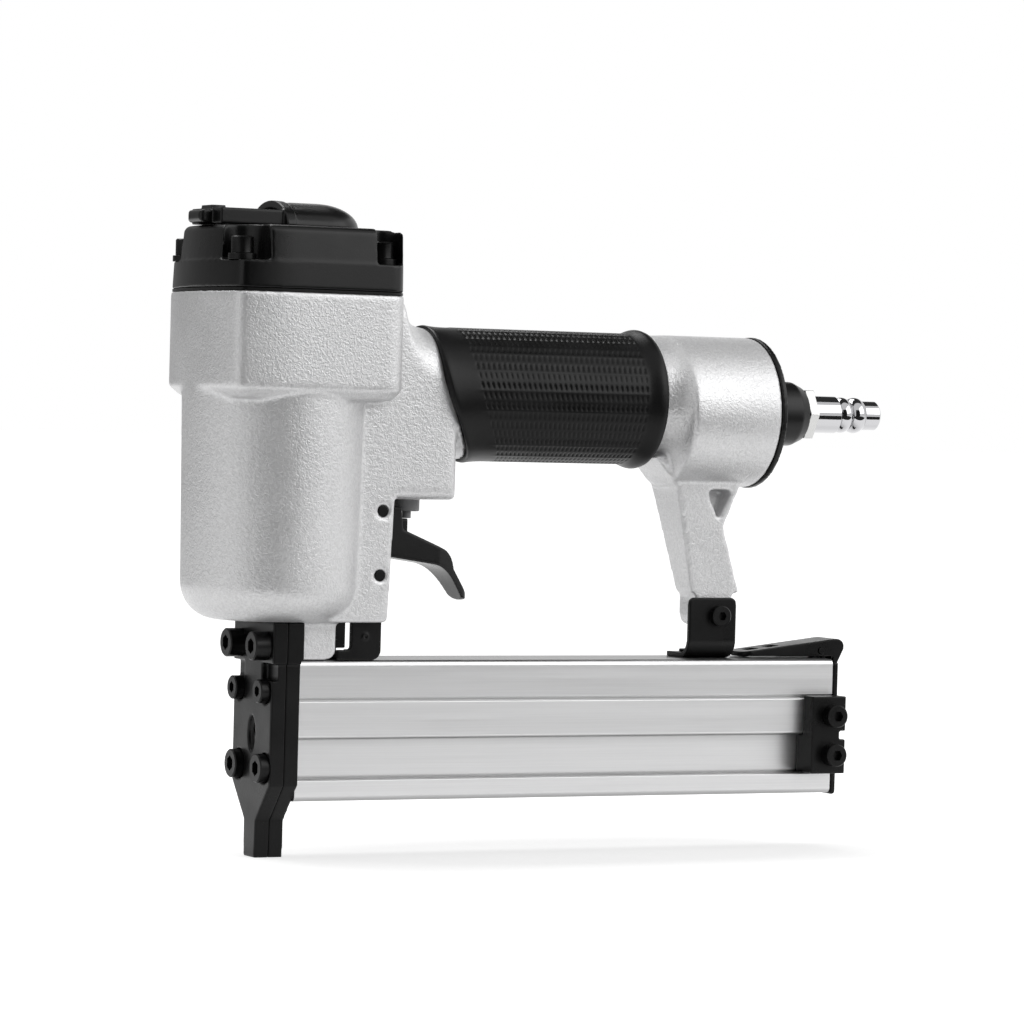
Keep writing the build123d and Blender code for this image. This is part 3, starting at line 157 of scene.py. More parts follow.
# Grip sleeve in mm: height of its axis, radii, rear end, and rounding of both ends
GRIP_LEVEL = 138.0
GRIP_RADIUS = 20.0
GRIP_BORE = 17.25
GRIP_REAR = 121.5
GRIP_EDGE_ROUND = 0.7
# Three points of its slanted front edge, as X and Z in mm
GRIP_EDGE = ((47.1, 158.5), (49.2, 137.0), (61.8, 117.5))
# Its front lip and rear flare in mm: both rise by a power of the way along, the flare as part of a wave
GRIP_LIP = 0.5
LIP_POWER = 3.0
GRIP_FLARE = 1.3
FLARE_POWER = 1.6
FLARE_WAVE = 0.72
# Its dimples: where they end at the rear and the plain margin before them in mm, and how many
PATTERN_REAR = 115.0
PATTERN_MARGIN = 9.0
DIMPLE_COLUMNS = 33
DIMPLE_ROWS = 42
# Size of a dimple as shares of its cell, and of its flat floor as a share of the dimple
DIMPLE_LENGTH = 0.5
DIMPLE_HEIGHT = 0.72
DIMPLE_FLOOR = 0.45
# Its depth in mm, the share of that in every second row, and the ridge between pairs of rows in mm
DIMPLE_DEPTH = 0.3
SHALLOW_ROW = 0.6
ROW_RIDGE = 0.1
# Grid steps of the sleeve: a dimple's cell, the plain front, the flared rear and each rounded end
CELL_STEPS = 5
FRONT_STEPS = 8
REAR_STEPS = 14
END_STEPS = 4


# Node helpers
def add_node(tree, kind, inputs=None, **settings):
    """Node with its settings; each input is a value, or a socket to link from."""
    node = tree.nodes.new(kind)
    for name, value in settings.items():
        setattr(node, name, value)
    for key, value in (inputs or {}).items():
        if isinstance(value, bpy.types.NodeSocket):
            tree.links.new(value, node.inputs[key])
        else:
            node.inputs[key].default_value = value
    return node


def calc(tree, operation, *values):
    """Result of one math node."""
    return add_node(tree, "ShaderNodeMath", dict(enumerate(values)), operation=operation).outputs[0]


def vector_calc(tree, operation, first, second):
    """Outputs of one vector math node."""
    return add_node(tree, "ShaderNodeVectorMath", {0: first, 1: second}, operation=operation).outputs


def new_group(name, kind, inputs, outputs):
    """Node group with named sockets, listed by type: the tree, its inputs and its outputs."""
    tree = bpy.data.node_groups.new(name, kind)
    for side, sockets in (("INPUT", inputs), ("OUTPUT", outputs)):
        for socket_type, labels in sockets.items():
            for label in labels:
                tree.interface.new_socket(label, in_out=side, socket_type="NodeSocket" + socket_type)
    return tree, tree.nodes.new("NodeGroupInput").outputs, tree.nodes.new("NodeGroupOutput").inputs


def object_place(tree):
    """Place on the surface, in the piece's own coordinates."""
    return tree.nodes.new("ShaderNodeTexCoord").outputs["Object"]


def split_place(tree, place):
    """X, Y and Z of a place."""
    return add_node(tree, "ShaderNodeSeparateXYZ", {0: place}).outputs


def noise(tree, place, scale, detail=2.0, roughness=0.5, distortion=0.0):
    """Value of a noise texture."""
    return add_node(tree, "ShaderNodeTexNoise", {
        "Vector": place, "Scale": scale, "Detail": detail, "Roughness": roughness, "Distortion": distortion,
    }).outputs["Fac"]


def stretch(tree, value, low, high, to_low=0.0, to_high=1.0):
    """Value taken from one range to another and kept inside it."""
    return add_node(tree, "ShaderNodeMapRange", {
        "Value": value, "From Min": low, "From Max": high, "To Min": to_low, "To Max": to_high,
    }).outputs["Result"]


# Shared effects: ranges of noise that are spread over 0 to 1
WRINKLE_RANGE = (0.3, 0.7)
PATCH_RANGE = (0.35, 0.65)
BREAK_RANGE = (0.35, 0.6)
LINE_RANGE = (0.75, 1.25)
# Pointiness of a flat face, and how far an edge or a corner has to differ from it
FLAT_POINTINESS = 0.5
POINTINESS_SLACK = 0.01


def hammered_paint_group():
    """Wrinkled skin of hammered silver paint, on broader swells."""
    tree, given, result = new_group(
        "hammered_paint", "ShaderNodeTree",
        {"Float": ("Wrinkles", "Patches")}, {"Float": ("Height", "Tone", "Patch")})
    swell_scale, swell_height, wrinkle_height = 0.4, 0.5, 0.7
    place = object_place(tree)
    wrinkle = noise(tree, place, given["Wrinkles"], detail=1.0, roughness=0.4, distortion=0.9)
    tone = stretch(tree, wrinkle, *WRINKLE_RANGE)
    swell = noise(tree, place, calc(tree, "MULTIPLY", given["Wrinkles"], swell_scale), detail=1.0)
    height = calc(tree, "MULTIPLY_ADD", tone, wrinkle_height, calc(tree, "MULTIPLY", swell, swell_height))
    patch = noise(tree, place, given["Patches"])
    tree.links.new(height, result["Height"])
    tree.links.new(tone, result["Tone"])
    tree.links.new(stretch(tree, patch, *PATCH_RANGE), result["Patch"])
    return tree


def edge_rub_group():
    """Mask of rubbed outer edges and of inner corners."""
    tree, given, result = new_group(
        "edge_rub", "ShaderNodeTree",
        {"Float": ("Reach", "Break")}, {"Float": ("Edge", "Corner")})
    edge = FLAT_POINTINESS + POINTINESS_SLACK
    corner = FLAT_POINTINESS - POINTINESS_SLACK
    sharpness = tree.nodes.new("ShaderNodeNewGeometry").outputs["Pointiness"]
    broken = stretch(tree, noise(tree, object_place(tree), given["Break"], detail=3.0), *BREAK_RANGE)
    outer = stretch(tree, sharpness, edge, calc(tree, "ADD", edge, given["Reach"]))
    inner = stretch(tree, sharpness, corner, calc(tree, "SUBTRACT", corner, given["Reach"]))
    tree.links.new(calc(tree, "MULTIPLY", outer, broken), result["Edge"])
    tree.links.new(inner, result["Corner"])
    return tree


def fine_grain_group():
    """Fine moulded or sprayed grain with soft patches of handling."""
    tree, given, result = new_group(
        "fine_grain", "ShaderNodeTree",
        {"Float": ("Grains", "Patches")}, {"Float": ("Height", "Patch")})
    place = object_place(tree)
    patch = noise(tree, place, given["Patches"], detail=3.0)
    tree.links.new(noise(tree, place, given["Grains"], roughness=0.6), result["Height"])
    tree.links.new(stretch(tree, patch, *PATCH_RANGE), result["Patch"])
    return tree


def draw_lines_group():
    """Fine lines left along X by the drawing of a metal, among broader ones."""
    tree, given, result = new_group(
        "draw_lines", "ShaderNodeTree",
        {"Float": ("Lines", "Run")}, {"Float": ("Height", "Tone")})
    broad_scale = 0.12
    run = add_node(tree, "ShaderNodeCombineXYZ", {"X": given["Run"], "Y": 1.0, "Z": 1.0}).outputs[0]
    along = vector_calc(tree, "MULTIPLY", object_place(tree), run)["Vector"]
    fine = noise(tree, along, given["Lines"], detail=3.0, roughness=0.6)
    broad = noise(tree, along, calc(tree, "MULTIPLY", given["Lines"], broad_scale))
    tree.links.new(fine, result["Height"])
    tree.links.new(stretch(tree, calc(tree, "ADD", fine, broad), *LINE_RANGE), result["Tone"])
    return tree


hammered_paint = hammered_paint_group()
edge_rub = edge_rub_group()
fine_grain = fine_grain_group()
draw_lines = draw_lines_group()


# Materials: sockets of a colour mix
MIX_FACTOR = 0
MIX_FIRST = 6
MIX_SECOND = 7
MIX_RESULT = 2


def new_material(name, metallic):
    """Material, its tree and its Principled shader."""
    material = bpy.data.materials.new(name)
    material.use_nodes = True
    shader = material.node_tree.nodes["Principled BSDF"]
    shader.inputs["Metallic"].default_value = metallic
    return material, material.node_tree, shader


def place_group(tree, group, **values):
    """A shared effect in a material, with its own values."""
    node = tree.nodes.new("ShaderNodeGroup")
    node.node_tree = group
    for name, value in values.items():
        node.inputs[name].default_value = value
    return node.outputs


def blend_colours(tree, factor, first, second):
    """Colour between two, by a factor; each is a colour or a socket."""
    mix = add_node(tree, "ShaderNodeMix", {MIX_FACTOR: factor}, data_type="RGBA")
    for key, colour in ((MIX_FIRST, first), (MIX_SECOND, second)):
        if isinstance(colour, bpy.types.NodeSocket):
            tree.links.new(colour, mix.inputs[key])
        else:
            mix.inputs[key].default_value = (*colour, 1.0)
    return mix.outputs[MIX_RESULT]


def emboss(tree, shader, height, depth):
    """Bump of a real depth in mm."""
    bump = add_node(tree, "ShaderNodeBump", {"Height": height, "Distance": depth * MM})
    tree.links.new(bump.outputs["Normal"], shader.inputs["Normal"])


def cast_silver():
    """Hammered silver paint over the casting, rubbed at its edges and darker in its inner corners."""
    material, tree, shader = new_material("cast_silver", metallic=0.55)
    hollow, crest = (0.59, 0.59, 0.595), (0.72, 0.72, 0.725)
    gloss, depth = (0.39, 0.46), 0.085
    paint = place_group(tree, hammered_paint, Wrinkles=1300.0, Patches=35.0)
    rub = place_group(tree, edge_rub, Reach=0.05, Break=300.0)
    colour = blend_colours(tree, paint["Tone"], hollow, crest)
    for mask, strength, tint in (
        (paint["Patch"], 0.25, (0.74, 0.74, 0.745)),
        (rub["Edge"], 0.4, (0.78, 0.78, 0.785)),
        # Inner corners are made darker
        (rub["Corner"], 0.35, (0.36, 0.36, 0.37)),
    ):
        colour = blend_colours(tree, calc(tree, "MULTIPLY", mask, strength), colour, tint)
    tree.links.new(colour, shader.inputs["Base Color"])
    tree.links.new(stretch(tree, paint["Patch"], 0, 1, *gloss), shader.inputs["Roughness"])
    emboss(tree, shader, paint["Height"], depth)
    return material


def black_finish(name, tone, sheen, gloss, grains, depth):
    """Satin black of plastic, rubber or steel, by its tone, sheen, roughness range and grain."""
    material, tree, shader = new_material(name, metallic=0.0)
    shader.inputs["Specular IOR Level"].default_value = sheen
    clean = (tone, tone, tone)
    handled = (tone * 1.35, tone * 1.35, tone * 1.4)
    rubbed, rubbed_strength = (tone * 3, tone * 3, tone * 3), 0.35
    grain = place_group(tree, fine_grain, Grains=grains, Patches=70.0)
    rub = place_group(tree, edge_rub, Reach=0.08, Break=600.0)
    colour = blend_colours(tree, grain["Patch"], clean, handled)
    colour = blend_colours(tree, calc(tree, "MULTIPLY", rub["Edge"], rubbed_strength), colour, rubbed)
    tree.links.new(colour, shader.inputs["Base Color"])
    tree.links.new(stretch(tree, grain["Patch"], 0, 1, *gloss), shader.inputs["Roughness"])
    emboss(tree, shader, grain["Height"], depth)
    return material


def valve_grey():
    """Grey moulded plastic of the valves."""
    material, tree, shader = new_material("valve_grey", metallic=0.0)
    clean, handled = (0.20, 0.20, 0.205), (0.27, 0.27, 0.275)
    gloss, depth = (0.4, 0.52), 0.02
    grain = place_group(tree, fine_grain, Grains=2200.0, Patches=120.0)
    tree.links.new(blend_colours(tree, grain["Patch"], clean, handled), shader.inputs["Base Color"])
    tree.links.new(stretch(tree, grain["Patch"], 0, 1, *gloss), shader.inputs["Roughness"])
    emboss(tree, shader, grain["Height"], depth)
    return material


def drawn_metal(name, dark, light, gloss, lines, run, depth, shade_lines=()):
    """Bare drawn metal with fine lines along its length, and painted shade along level lines."""
    material, tree, shader = new_material(name, metallic=1.0)
    blue_lift = 1.005
    line = place_group(tree, draw_lines, Lines=lines, Run=run)
    hollow, crest = (dark, dark, dark * blue_lift), (light, light, light * blue_lift)
    colour = blend_colours(tree, line["Tone"], hollow, crest)
    height = split_place(tree, object_place(tree))["Z"]
    # Painted shade: darker bands at given heights, where edges face down or lie in shadow
    for level, reach, strength in shade_lines:
        away = calc(tree, "ABSOLUTE", calc(tree, "SUBTRACT", height, level * MM))
        colour = blend_colours(tree, stretch(tree, away, 0, reach * MM, strength, 0), colour, SEAM_SHADE)
    tree.links.new(colour, shader.inputs["Base Color"])
    tree.links.new(stretch(tree, line["Tone"], 0, 1, *gloss), shader.inputs["Roughness"])
    emboss(tree, shader, line["Height"], depth)
    return material


def plug_chrome():
    """Bright chrome of the hose plug, with the hex left satin."""
    material, tree, shader = new_material("plug_chrome", metallic=1.0)
    hex_colour, tail_colour = (0.54, 0.54, 0.535), (0.48, 0.48, 0.49)
    hex_gloss, tail_gloss, smear_gloss = 0.32, 0.04, 0.05
    depth = 0.004
    along = split_place(tree, object_place(tree))["X"]
    past_hex = stretch(tree, along, HEX_REAR * MM, (HEX_REAR + HEX_STEP) * MM)
    smear = place_group(tree, fine_grain, Grains=900.0, Patches=160.0)
    gloss = stretch(tree, past_hex, 0, 1, hex_gloss, tail_gloss)
    smeared = calc(tree, "MULTIPLY_ADD", smear["Patch"], smear_gloss, gloss)
    tree.links.new(smeared, shader.inputs["Roughness"])
    tree.links.new(blend_colours(tree, past_hex, hex_colour, tail_colour), shader.inputs["Base Color"])
    emboss(tree, shader, smear["Height"], depth)
    return material


ALUMINIUM = {
    "dark": 0.63, "light": 0.68, "gloss": (0.31, 0.36), "lines": 2600.0, "run": 0.01, "depth": 0.012,
}
finishes = {
    "cast": cast_silver(),
    "moulded": black_finish(
        "moulded_black", tone=0.003, sheen=0.27, gloss=(0.27, 0.36), grains=2200.0, depth=0.02),
    "rubber": black_finish(
        "rubber_black", tone=0.004, sheen=0.18, gloss=(0.33, 0.42), grains=1800.0, depth=0.03),
    "blackened": black_finish(
        "blackened_steel", tone=0.003, sheen=0.19, gloss=(0.27, 0.38), grains=2000.0, depth=0.025),
    "grey": valve_grey(),
    "bright": drawn_metal(
        "bright_steel", dark=0.5, light=0.62, gloss=(0.22, 0.32), lines=2000.0, run=0.2, depth=0.01),
    "drawn": drawn_metal("drawn_aluminium", **ALUMINIUM),
    "extruded": drawn_metal("extruded_aluminium", **ALUMINIUM, shade_lines=MAGAZINE_SHADE_LINES),
    "chrome": plug_chrome(),
}
for finish, names in KEPT_NODES.items():
    for name in names:
        mesh = nodes[name].data
        mesh.materials.clear()
        mesh.materials.append(finishes[finish])


# Shapes made from the CAD nodes
def new_object(name, data):
    """Object at the origin, from a mesh, a camera or a lamp."""
    made = bpy.data.objects.new(name, data)
    bpy.context.scene.collection.objects.link(made)
    return made


def bake(piece, crease=None):
    """Turns a piece with modifiers into a plain mesh, smooth below a crease angle in degrees."""
    bpy.context.view_layer.update()
    mesh = bpy.data.meshes.new_from_object(piece.evaluated_get(bpy.context.evaluated_depsgraph_get()))
    piece.modifiers.clear()
    piece.data = mesh
    if crease is not None:
        mesh.shade_smooth()
        mesh.set_sharp_from_angle(angle=math.radians(crease))


def stand_for(piece, node):
    """The piece takes the place and the body of a CAD node, which is hidden."""
    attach(piece, body_of[node])
    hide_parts(node)


def merged_copy(node, flat=False):
    """Copy of a CAD piece with its loose triangles merged and, if asked, its flat faces joined."""
    mesh = nodes[node].data.copy()
    shell = bmesh.new()
    shell.from_mesh(mesh)
    bmesh.ops.remove_doubles(shell, verts=shell.verts, dist=WELD * MM)
    if flat:
        bmesh.ops.dissolve_limit(
            shell, angle_limit=math.radians(FLAT_ANGLE), verts=shell.verts, edges=shell.edges)
    shell.to_mesh(mesh)
    shell.free()
    mesh.materials.clear()
    return mesh


def soften(node, voxel, passes, finish):
    """Piece with the edges and inner corners of a CAD node rounded off."""
    piece = new_object(node + "_skin", merged_copy(node))
    remesh = piece.modifiers.new("skin", "REMESH")
    remesh.mode = "VOXEL"
    remesh.voxel_size = voxel * MM
    smooth = piece.modifiers.new("soft", "SMOOTH")
    smooth.factor = SMOOTH_FACTOR
    smooth.iterations = passes
    bake(piece, SMOOTH_ALL)
    if len(piece.data.polygons) > SOFT_FACES:
        thin = piece.modifiers.new("thin", "DECIMATE")
        thin.ratio = SOFT_FACES / len(piece.data.polygons)
        bake(piece, SMOOTH_ALL)
    piece.data.materials.append(finishes[finish])
    stand_for(piece, node)


def slim(node, inset, finish):
    """Piece a little thinner all round than a CAD node, by an inset in mm."""
    piece = new_object(node + "_slim", merged_copy(node))
    normals = [vertex.normal.copy() for vertex in piece.data.vertices]
    for vertex, normal in zip(piece.data.vertices, normals):
        vertex.co -= normal * inset * MM
    piece.data.materials.append(finishes[finish])
    stand_for(piece, node)


def squeeze(node, finish):
    """Spring copied from a CAD node, smooth below a crease, in a mesh of its own."""
    piece = new_object(node + "_coil", merged_copy(node))
    bake(piece, COIL_CREASE)
    piece.data.materials.append(finishes[finish])
    stand_for(piece, node)
    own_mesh(piece)


def ease(node, width, finish):
    """Piece with a small bevel, of a width in mm, on the sharp edges of a CAD node."""
    piece = new_object(node + "_eased", merged_copy(node, flat=True))
    bevel = piece.modifiers.new("ease", "BEVEL")
    bevel.width = width * MM
    bevel.segments = BEVEL_STEPS
    bevel.limit_method = "ANGLE"
    bevel.angle_limit = math.radians(BEVEL_ANGLE)
    bevel.harden_normals = True
    piece.data.shade_smooth()
    piece.modifiers.new("level", "WEIGHTED_NORMAL").keep_sharp = True
    bake(piece)
    piece.data.materials.append(finishes[finish])
    stand_for(piece, node)


# Geometry trees
def vertex_place(tree):
    """X, Y and Z of each vertex."""
    return split_place(tree, tree.nodes.new("GeometryNodeInputPosition").outputs[0])


def moved_to(tree, mesh, x, y, z):
    """Mesh with its vertices at new places."""
    spot = add_node(tree, "ShaderNodeCombineXYZ", {"X": x, "Y": y, "Z": z}).outputs[0]
    return add_node(tree, "GeometryNodeSetPosition", {"Geometry": mesh, "Position": spot}).outputs[0]


def raised(tree, mesh, height):
    """Mesh moved up by a height."""
    shift = add_node(tree, "ShaderNodeCombineXYZ", {"Z": height}).outputs[0]
    return add_node(tree, "GeometryNodeTransform", {"Geometry": mesh, "Translation": shift}).outputs[0]


def end_tree(tree, shape, material, result):
    """Ends a tree with a real mesh in its material."""
    real = add_node(tree, "GeometryNodeRealizeInstances", {"Geometry": shape}).outputs[0]
    coated = add_node(tree, "GeometryNodeSetMaterial", {"Geometry": real, "Material": material})
    tree.links.new(coated.outputs[0], result)


def screw_head(tree, given):
    """Round head of a screw: two rims, and a knurled wall between them."""
    edge = given["Edge"]
    foot, lower, upper, crown = (calc(tree, "MULTIPLY", edge, share) for share in RIM_SHARES)
    rims = calc(tree, "MULTIPLY", edge, sum(RIM_SHARES))
    wall = calc(tree, "DIVIDE", calc(tree, "SUBTRACT", given["Head Height"], rims), 2.0)
    steps = (foot, lower, wall, wall, upper, crown)
    rings = len(steps)
    blank = add_node(tree, "GeometryNodeMeshCylinder", {
        "Vertices": calc(tree, "MULTIPLY", given["Knurls"], 2.0), "Side Segments": rings,
        "Radius": 1.0, "Depth": float(rings)})
    at = vertex_place(tree)
    ring = calc(tree, "ROUND", calc(tree, "ADD", at["Z"], rings / 2))
    rise = 0.0
    for index, step in enumerate(steps):
        rise = calc(tree, "MULTIPLY_ADD", calc(tree, "GREATER_THAN", ring, index + 0.5), step, rise)
    angle = calc(tree, "ARCTAN2", at["Y"], at["X"])
    turn = calc(tree, "MULTIPLY", angle, calc(tree, "DIVIDE", given["Knurls"], math.pi))
    odd = calc(tree, "ABSOLUTE", calc(tree, "MODULO", calc(tree, "ROUND", turn), 2.0))
    on_wall = calc(tree, "COMPARE", ring, rings / 2, 1.5)
    inset = calc(tree, "MULTIPLY", calc(tree, "MULTIPLY", odd, on_wall), given["Knurl Depth"])
    inset = calc(tree, "MULTIPLY_ADD", calc(tree, "GREATER_THAN", ring, rings - 0.5), edge, inset)
    foot_inset = calc(tree, "MULTIPLY", edge, FOOT_INSET)
    inset = calc(tree, "MULTIPLY_ADD", calc(tree, "LESS_THAN", ring, 0.5), foot_inset, inset)
    reach = calc(tree, "SUBTRACT", given["Head Radius"], inset)
    x, y = (calc(tree, "MULTIPLY", at[axis], reach) for axis in "XY")
    return moved_to(tree, blank.outputs["Mesh"], x, y, rise)


def screw_key(tree, given):
    """Six-sided prism that cuts the key's socket into the top of a head."""
    prism = add_node(tree, "GeometryNodeMeshCylinder", {
        "Vertices": 6, "Radius": calc(tree, "DIVIDE", given["Key Size"], math.sqrt(3)),
        "Depth": calc(tree, "MULTIPLY", given["Key Depth"], 2.0)})
    return raised(tree, prism.outputs["Mesh"], given["Head Height"])


def screw_thread(tree, given):
    """Plain thread below a head."""
    rod = add_node(tree, "GeometryNodeMeshCylinder", {
        "Vertices": THREAD_SIDES, "Radius": given["Thread Radius"], "Depth": given["Thread Length"]})
    return raised(tree, rod.outputs["Mesh"], calc(tree, "MULTIPLY", given["Thread Length"], -0.5))


def socket_screw_tree():
    """Knurled socket screws on points: the head stands on the point, the thread runs below it."""
    tree, given, result = new_group("socket_screws", "GeometryNodeTree", {
        "Geometry": ("Points",),
        "Float": ("Thread Radius", "Thread Length", "Head Radius", "Head Height", "Key Size", "Key Depth",
                  "Knurl Depth", "Edge"),
        "Int": ("Knurls",),
        "Rotation": ("Turn",),
        "Material": ("Material",),
    }, {"Geometry": ("Screws",)})
    head = add_node(tree, "GeometryNodeMeshBoolean", {
        0: screw_head(tree, given), 1: screw_key(tree, given)}, operation="DIFFERENCE")
    screw = tree.nodes.new("GeometryNodeJoinGeometry")
    for part in (head.outputs["Mesh"], screw_thread(tree, given)):
        tree.links.new(part, screw.inputs[0])
    screws = add_node(tree, "GeometryNodeInstanceOnPoints", {
        "Points": given["Points"], "Instance": screw.outputs[0], "Rotation": given["Turn"]})
    end_tree(tree, screws.outputs[0], given["Material"], result["Screws"])
    return tree


def clamped(tree, value, low, high):
    """Value kept between two limits."""
    return calc(tree, "MINIMUM", calc(tree, "MAXIMUM", value, low), high)


def cell_place(tree, count, index, size):
    """Where a grid step lies in a row of dimple cells.

    Gives its place along the row, from 0 to 1, then 1 in a dimple, 1 on a cell's border, and its cell.
    """
    cell = calc(tree, "FLOOR", calc(tree, "DIVIDE", calc(tree, "ADD", index, 0.5), float(CELL_STEPS)))
    start = calc(tree, "MULTIPLY", cell, float(CELL_STEPS))
    offset = calc(tree, "SUBTRACT", calc(tree, "SUBTRACT", index, start), CELL_STEPS / 2)
    apart = calc(tree, "ABSOLUTE", offset)
    rim = calc(tree, "GREATER_THAN", apart, CELL_STEPS / 2 - 1.5)
    border = calc(tree, "GREATER_THAN", apart, CELL_STEPS / 2 - 0.5)
    half = calc(tree, "MULTIPLY", size, 0.5)
    reach = calc(tree, "MULTIPLY", half, DIMPLE_FLOOR)
    reach = calc(tree, "MULTIPLY_ADD", rim, calc(tree, "MULTIPLY", half, 1 - DIMPLE_FLOOR), reach)
    reach = calc(tree, "MULTIPLY_ADD", border, calc(tree, "SUBTRACT", 0.5, half), reach)
    middle = calc(tree, "ADD", cell, 0.5)
    spot = calc(tree, "MULTIPLY_ADD", calc(tree, "SIGN", offset), reach, middle)
    return calc(tree, "DIVIDE", spot, count), calc(tree, "SUBTRACT", 1.0, rim), border, cell


def sleeve_front(tree, given, upward):
    """X of the sleeve's slanted front edge, an arc seen from the side, at each way round."""
    level = calc(tree, "MULTIPLY_ADD", given["Radius"], upward, given["Level"])
    drop = calc(tree, "SUBTRACT", level, given["Edge Centre Z"])
    squares = [calc(tree, "POWER", value, 2.0) for value in (given["Edge Radius"], drop)]
    bow = calc(tree, "SQRT", calc(tree, "SUBTRACT", *squares))
    return calc(tree, "SUBTRACT", given["Edge Centre X"], bow)


def grip_sleeve_tree():
    """Rubber sleeve with rows of dimples between a slanted front edge and a flared rear end."""
    tree, given, result = new_group("grip_sleeve", "GeometryNodeTree", {
        "Int": ("Columns", "Rows"),
        "Float": ("Level", "Radius", "Bore", "Rear", "Pattern Rear", "Margin",
                  "Edge Centre X", "Edge Centre Z", "Edge Radius", "Edge Round", "Lip", "Flare",
                  "Dimple Length", "Dimple Height", "Dimple Depth", "Ridge"),
        "Material": ("Material",),
    }, {"Geometry": ("Sleeve",)})

    # A flat grid, whose columns run along the sleeve and whose rows run round it
    pattern = calc(tree, "MULTIPLY", given["Columns"], float(CELL_STEPS))
    around = calc(tree, "MULTIPLY", given["Rows"], float(CELL_STEPS))
    along = calc(tree, "ADD", pattern, float(FRONT_STEPS + REAR_STEPS + 2 * END_STEPS + 1))
    grid = add_node(tree, "GeometryNodeMeshGrid", {
        "Size X": along, "Size Y": around,
        "Vertices X": calc(tree, "ADD", along, 1.0), "Vertices Y": calc(tree, "ADD", around, 1.0)})
    at = vertex_place(tree)
    column = calc(tree, "ROUND", calc(tree, "MULTIPLY_ADD", along, 0.5, at["X"]))
    row = calc(tree, "ROUND", calc(tree, "MULTIPLY_ADD", around, 0.5, at["Y"]))

    # How far each column is into the front, the pattern, the rear, the ends and the bore
    step = calc(tree, "SUBTRACT", column, float(FRONT_STEPS + END_STEPS))
    past = calc(tree, "SUBTRACT", step, pattern)
    before = calc(tree, "MULTIPLY", step, -1.0)
    front_part = calc(tree, "DIVIDE", clamped(tree, before, 0.0, float(FRONT_STEPS)), float(FRONT_STEPS))
    front_end = clamped(tree, calc(tree, "SUBTRACT", before, float(FRONT_STEPS)), 0.0, float(END_STEPS))
    rear_part = calc(tree, "DIVIDE", clamped(tree, past, 0.0, float(REAR_STEPS)), float(REAR_STEPS))
    rear_end = clamped(tree, calc(tree, "SUBTRACT", past, float(REAR_STEPS)), 0.0, float(END_STEPS))
    bore_back = clamped(tree, calc(tree, "SUBTRACT", past, float(REAR_STEPS + END_STEPS)), 0.0, 1.0)
    in_pattern = clamped(tree, step, 0.0, pattern)
    share, dimple_x, _, _ = cell_place(tree, given["Columns"], in_pattern, given["Dimple Length"])
    turn, dimple_y, line, cell = cell_place(tree, given["Rows"], row, given["Dimple Height"])

    # Place along the handle
    angle = calc(tree, "MULTIPLY", turn, 2 * math.pi)
    upward, sideways = calc(tree, "COSINE", angle), calc(tree, "SINE", angle)
    front = sleeve_front(tree, given, upward)
    start = calc(tree, "ADD", front, given["Edge Round"])
    span = calc(tree, "SUBTRACT", calc(tree, "SUBTRACT", given["Pattern Rear"], start), given["Margin"])
    x = calc(tree, "MULTIPLY_ADD", share, span, start)
    x = calc(tree, "MULTIPLY_ADD", calc(tree, "SUBTRACT", 1.0, front_part), given["Margin"], x)
    rear = calc(tree, "SUBTRACT", given["Rear"], given["Edge Round"])
    x = calc(tree, "MULTIPLY_ADD", rear_part, calc(tree, "SUBTRACT", rear, given["Pattern Rear"]), x)

    # Radius with dimples, ridges between pairs of rows, front lip and rear flare
    paired = calc(tree, "LESS_THAN", calc(tree, "MODULO", cell, 2.0), 0.5)
    deepness = calc(tree, "MULTIPLY_ADD", paired, SHALLOW_ROW - 1, -SHALLOW_ROW)
    sunk = calc(tree, "MULTIPLY", calc(tree, "MULTIPLY", dimple_x, dimple_y), deepness)
    swell = calc(tree, "MULTIPLY", sunk, given["Dimple Depth"])
    plain = calc(tree, "ADD", front_part, rear_part)
    inside = calc(tree, "LESS_THAN", plain, 0.5 / REAR_STEPS)
    ridged = calc(tree, "MULTIPLY", calc(tree, "MULTIPLY", line, paired), inside)
    swell = calc(tree, "MULTIPLY_ADD", ridged, given["Ridge"], swell)
    swell = calc(tree, "MULTIPLY_ADD", calc(tree, "POWER", front_part, LIP_POWER), given["Lip"], swell)
    wave = calc(tree, "MULTIPLY", calc(tree, "POWER", rear_part, FLARE_POWER), FLARE_WAVE * math.pi)
    swell = calc(tree, "MULTIPLY_ADD", calc(tree, "SINE", wave), given["Flare"], swell)
    radius = calc(tree, "ADD", given["Radius"], swell)

    # Rounded ends that close on the bore, and the bore back to the front
    bend_steps = END_STEPS - 1
    for end, way in ((front_end, -1.0), (rear_end, 1.0)):
        bent = calc(tree, "MINIMUM", end, float(bend_steps))
        bend = calc(tree, "MULTIPLY", bent, math.pi / 2 / bend_steps)
        outward = calc(tree, "MULTIPLY", calc(tree, "SINE", bend), way)
        x = calc(tree, "MULTIPLY_ADD", outward, given["Edge Round"], x)
        inward = calc(tree, "SUBTRACT", calc(tree, "COSINE", bend), 1.0)
        radius = calc(tree, "MULTIPLY_ADD", inward, given["Edge Round"], radius)
        closed = calc(tree, "GREATER_THAN", end, END_STEPS - 0.5)
        radius = calc(tree, "MULTIPLY_ADD", closed, calc(tree, "SUBTRACT", given["Bore"], radius), radius)
    x = calc(tree, "MULTIPLY_ADD", bore_back, calc(tree, "SUBTRACT", front, x), x)

    y = calc(tree, "MULTIPLY", radius, sideways)
    z = calc(tree, "MULTIPLY_ADD", radius, upward, given["Level"])
    rolled = moved_to(tree, grid.outputs["Mesh"], x, y, z)
    joined = add_node(tree, "GeometryNodeMergeByDistance", {"Geometry": rolled, "Distance": WELD * MM})
    end_tree(tree, joined.outputs[0], given["Material"], result["Sleeve"])
    return tree


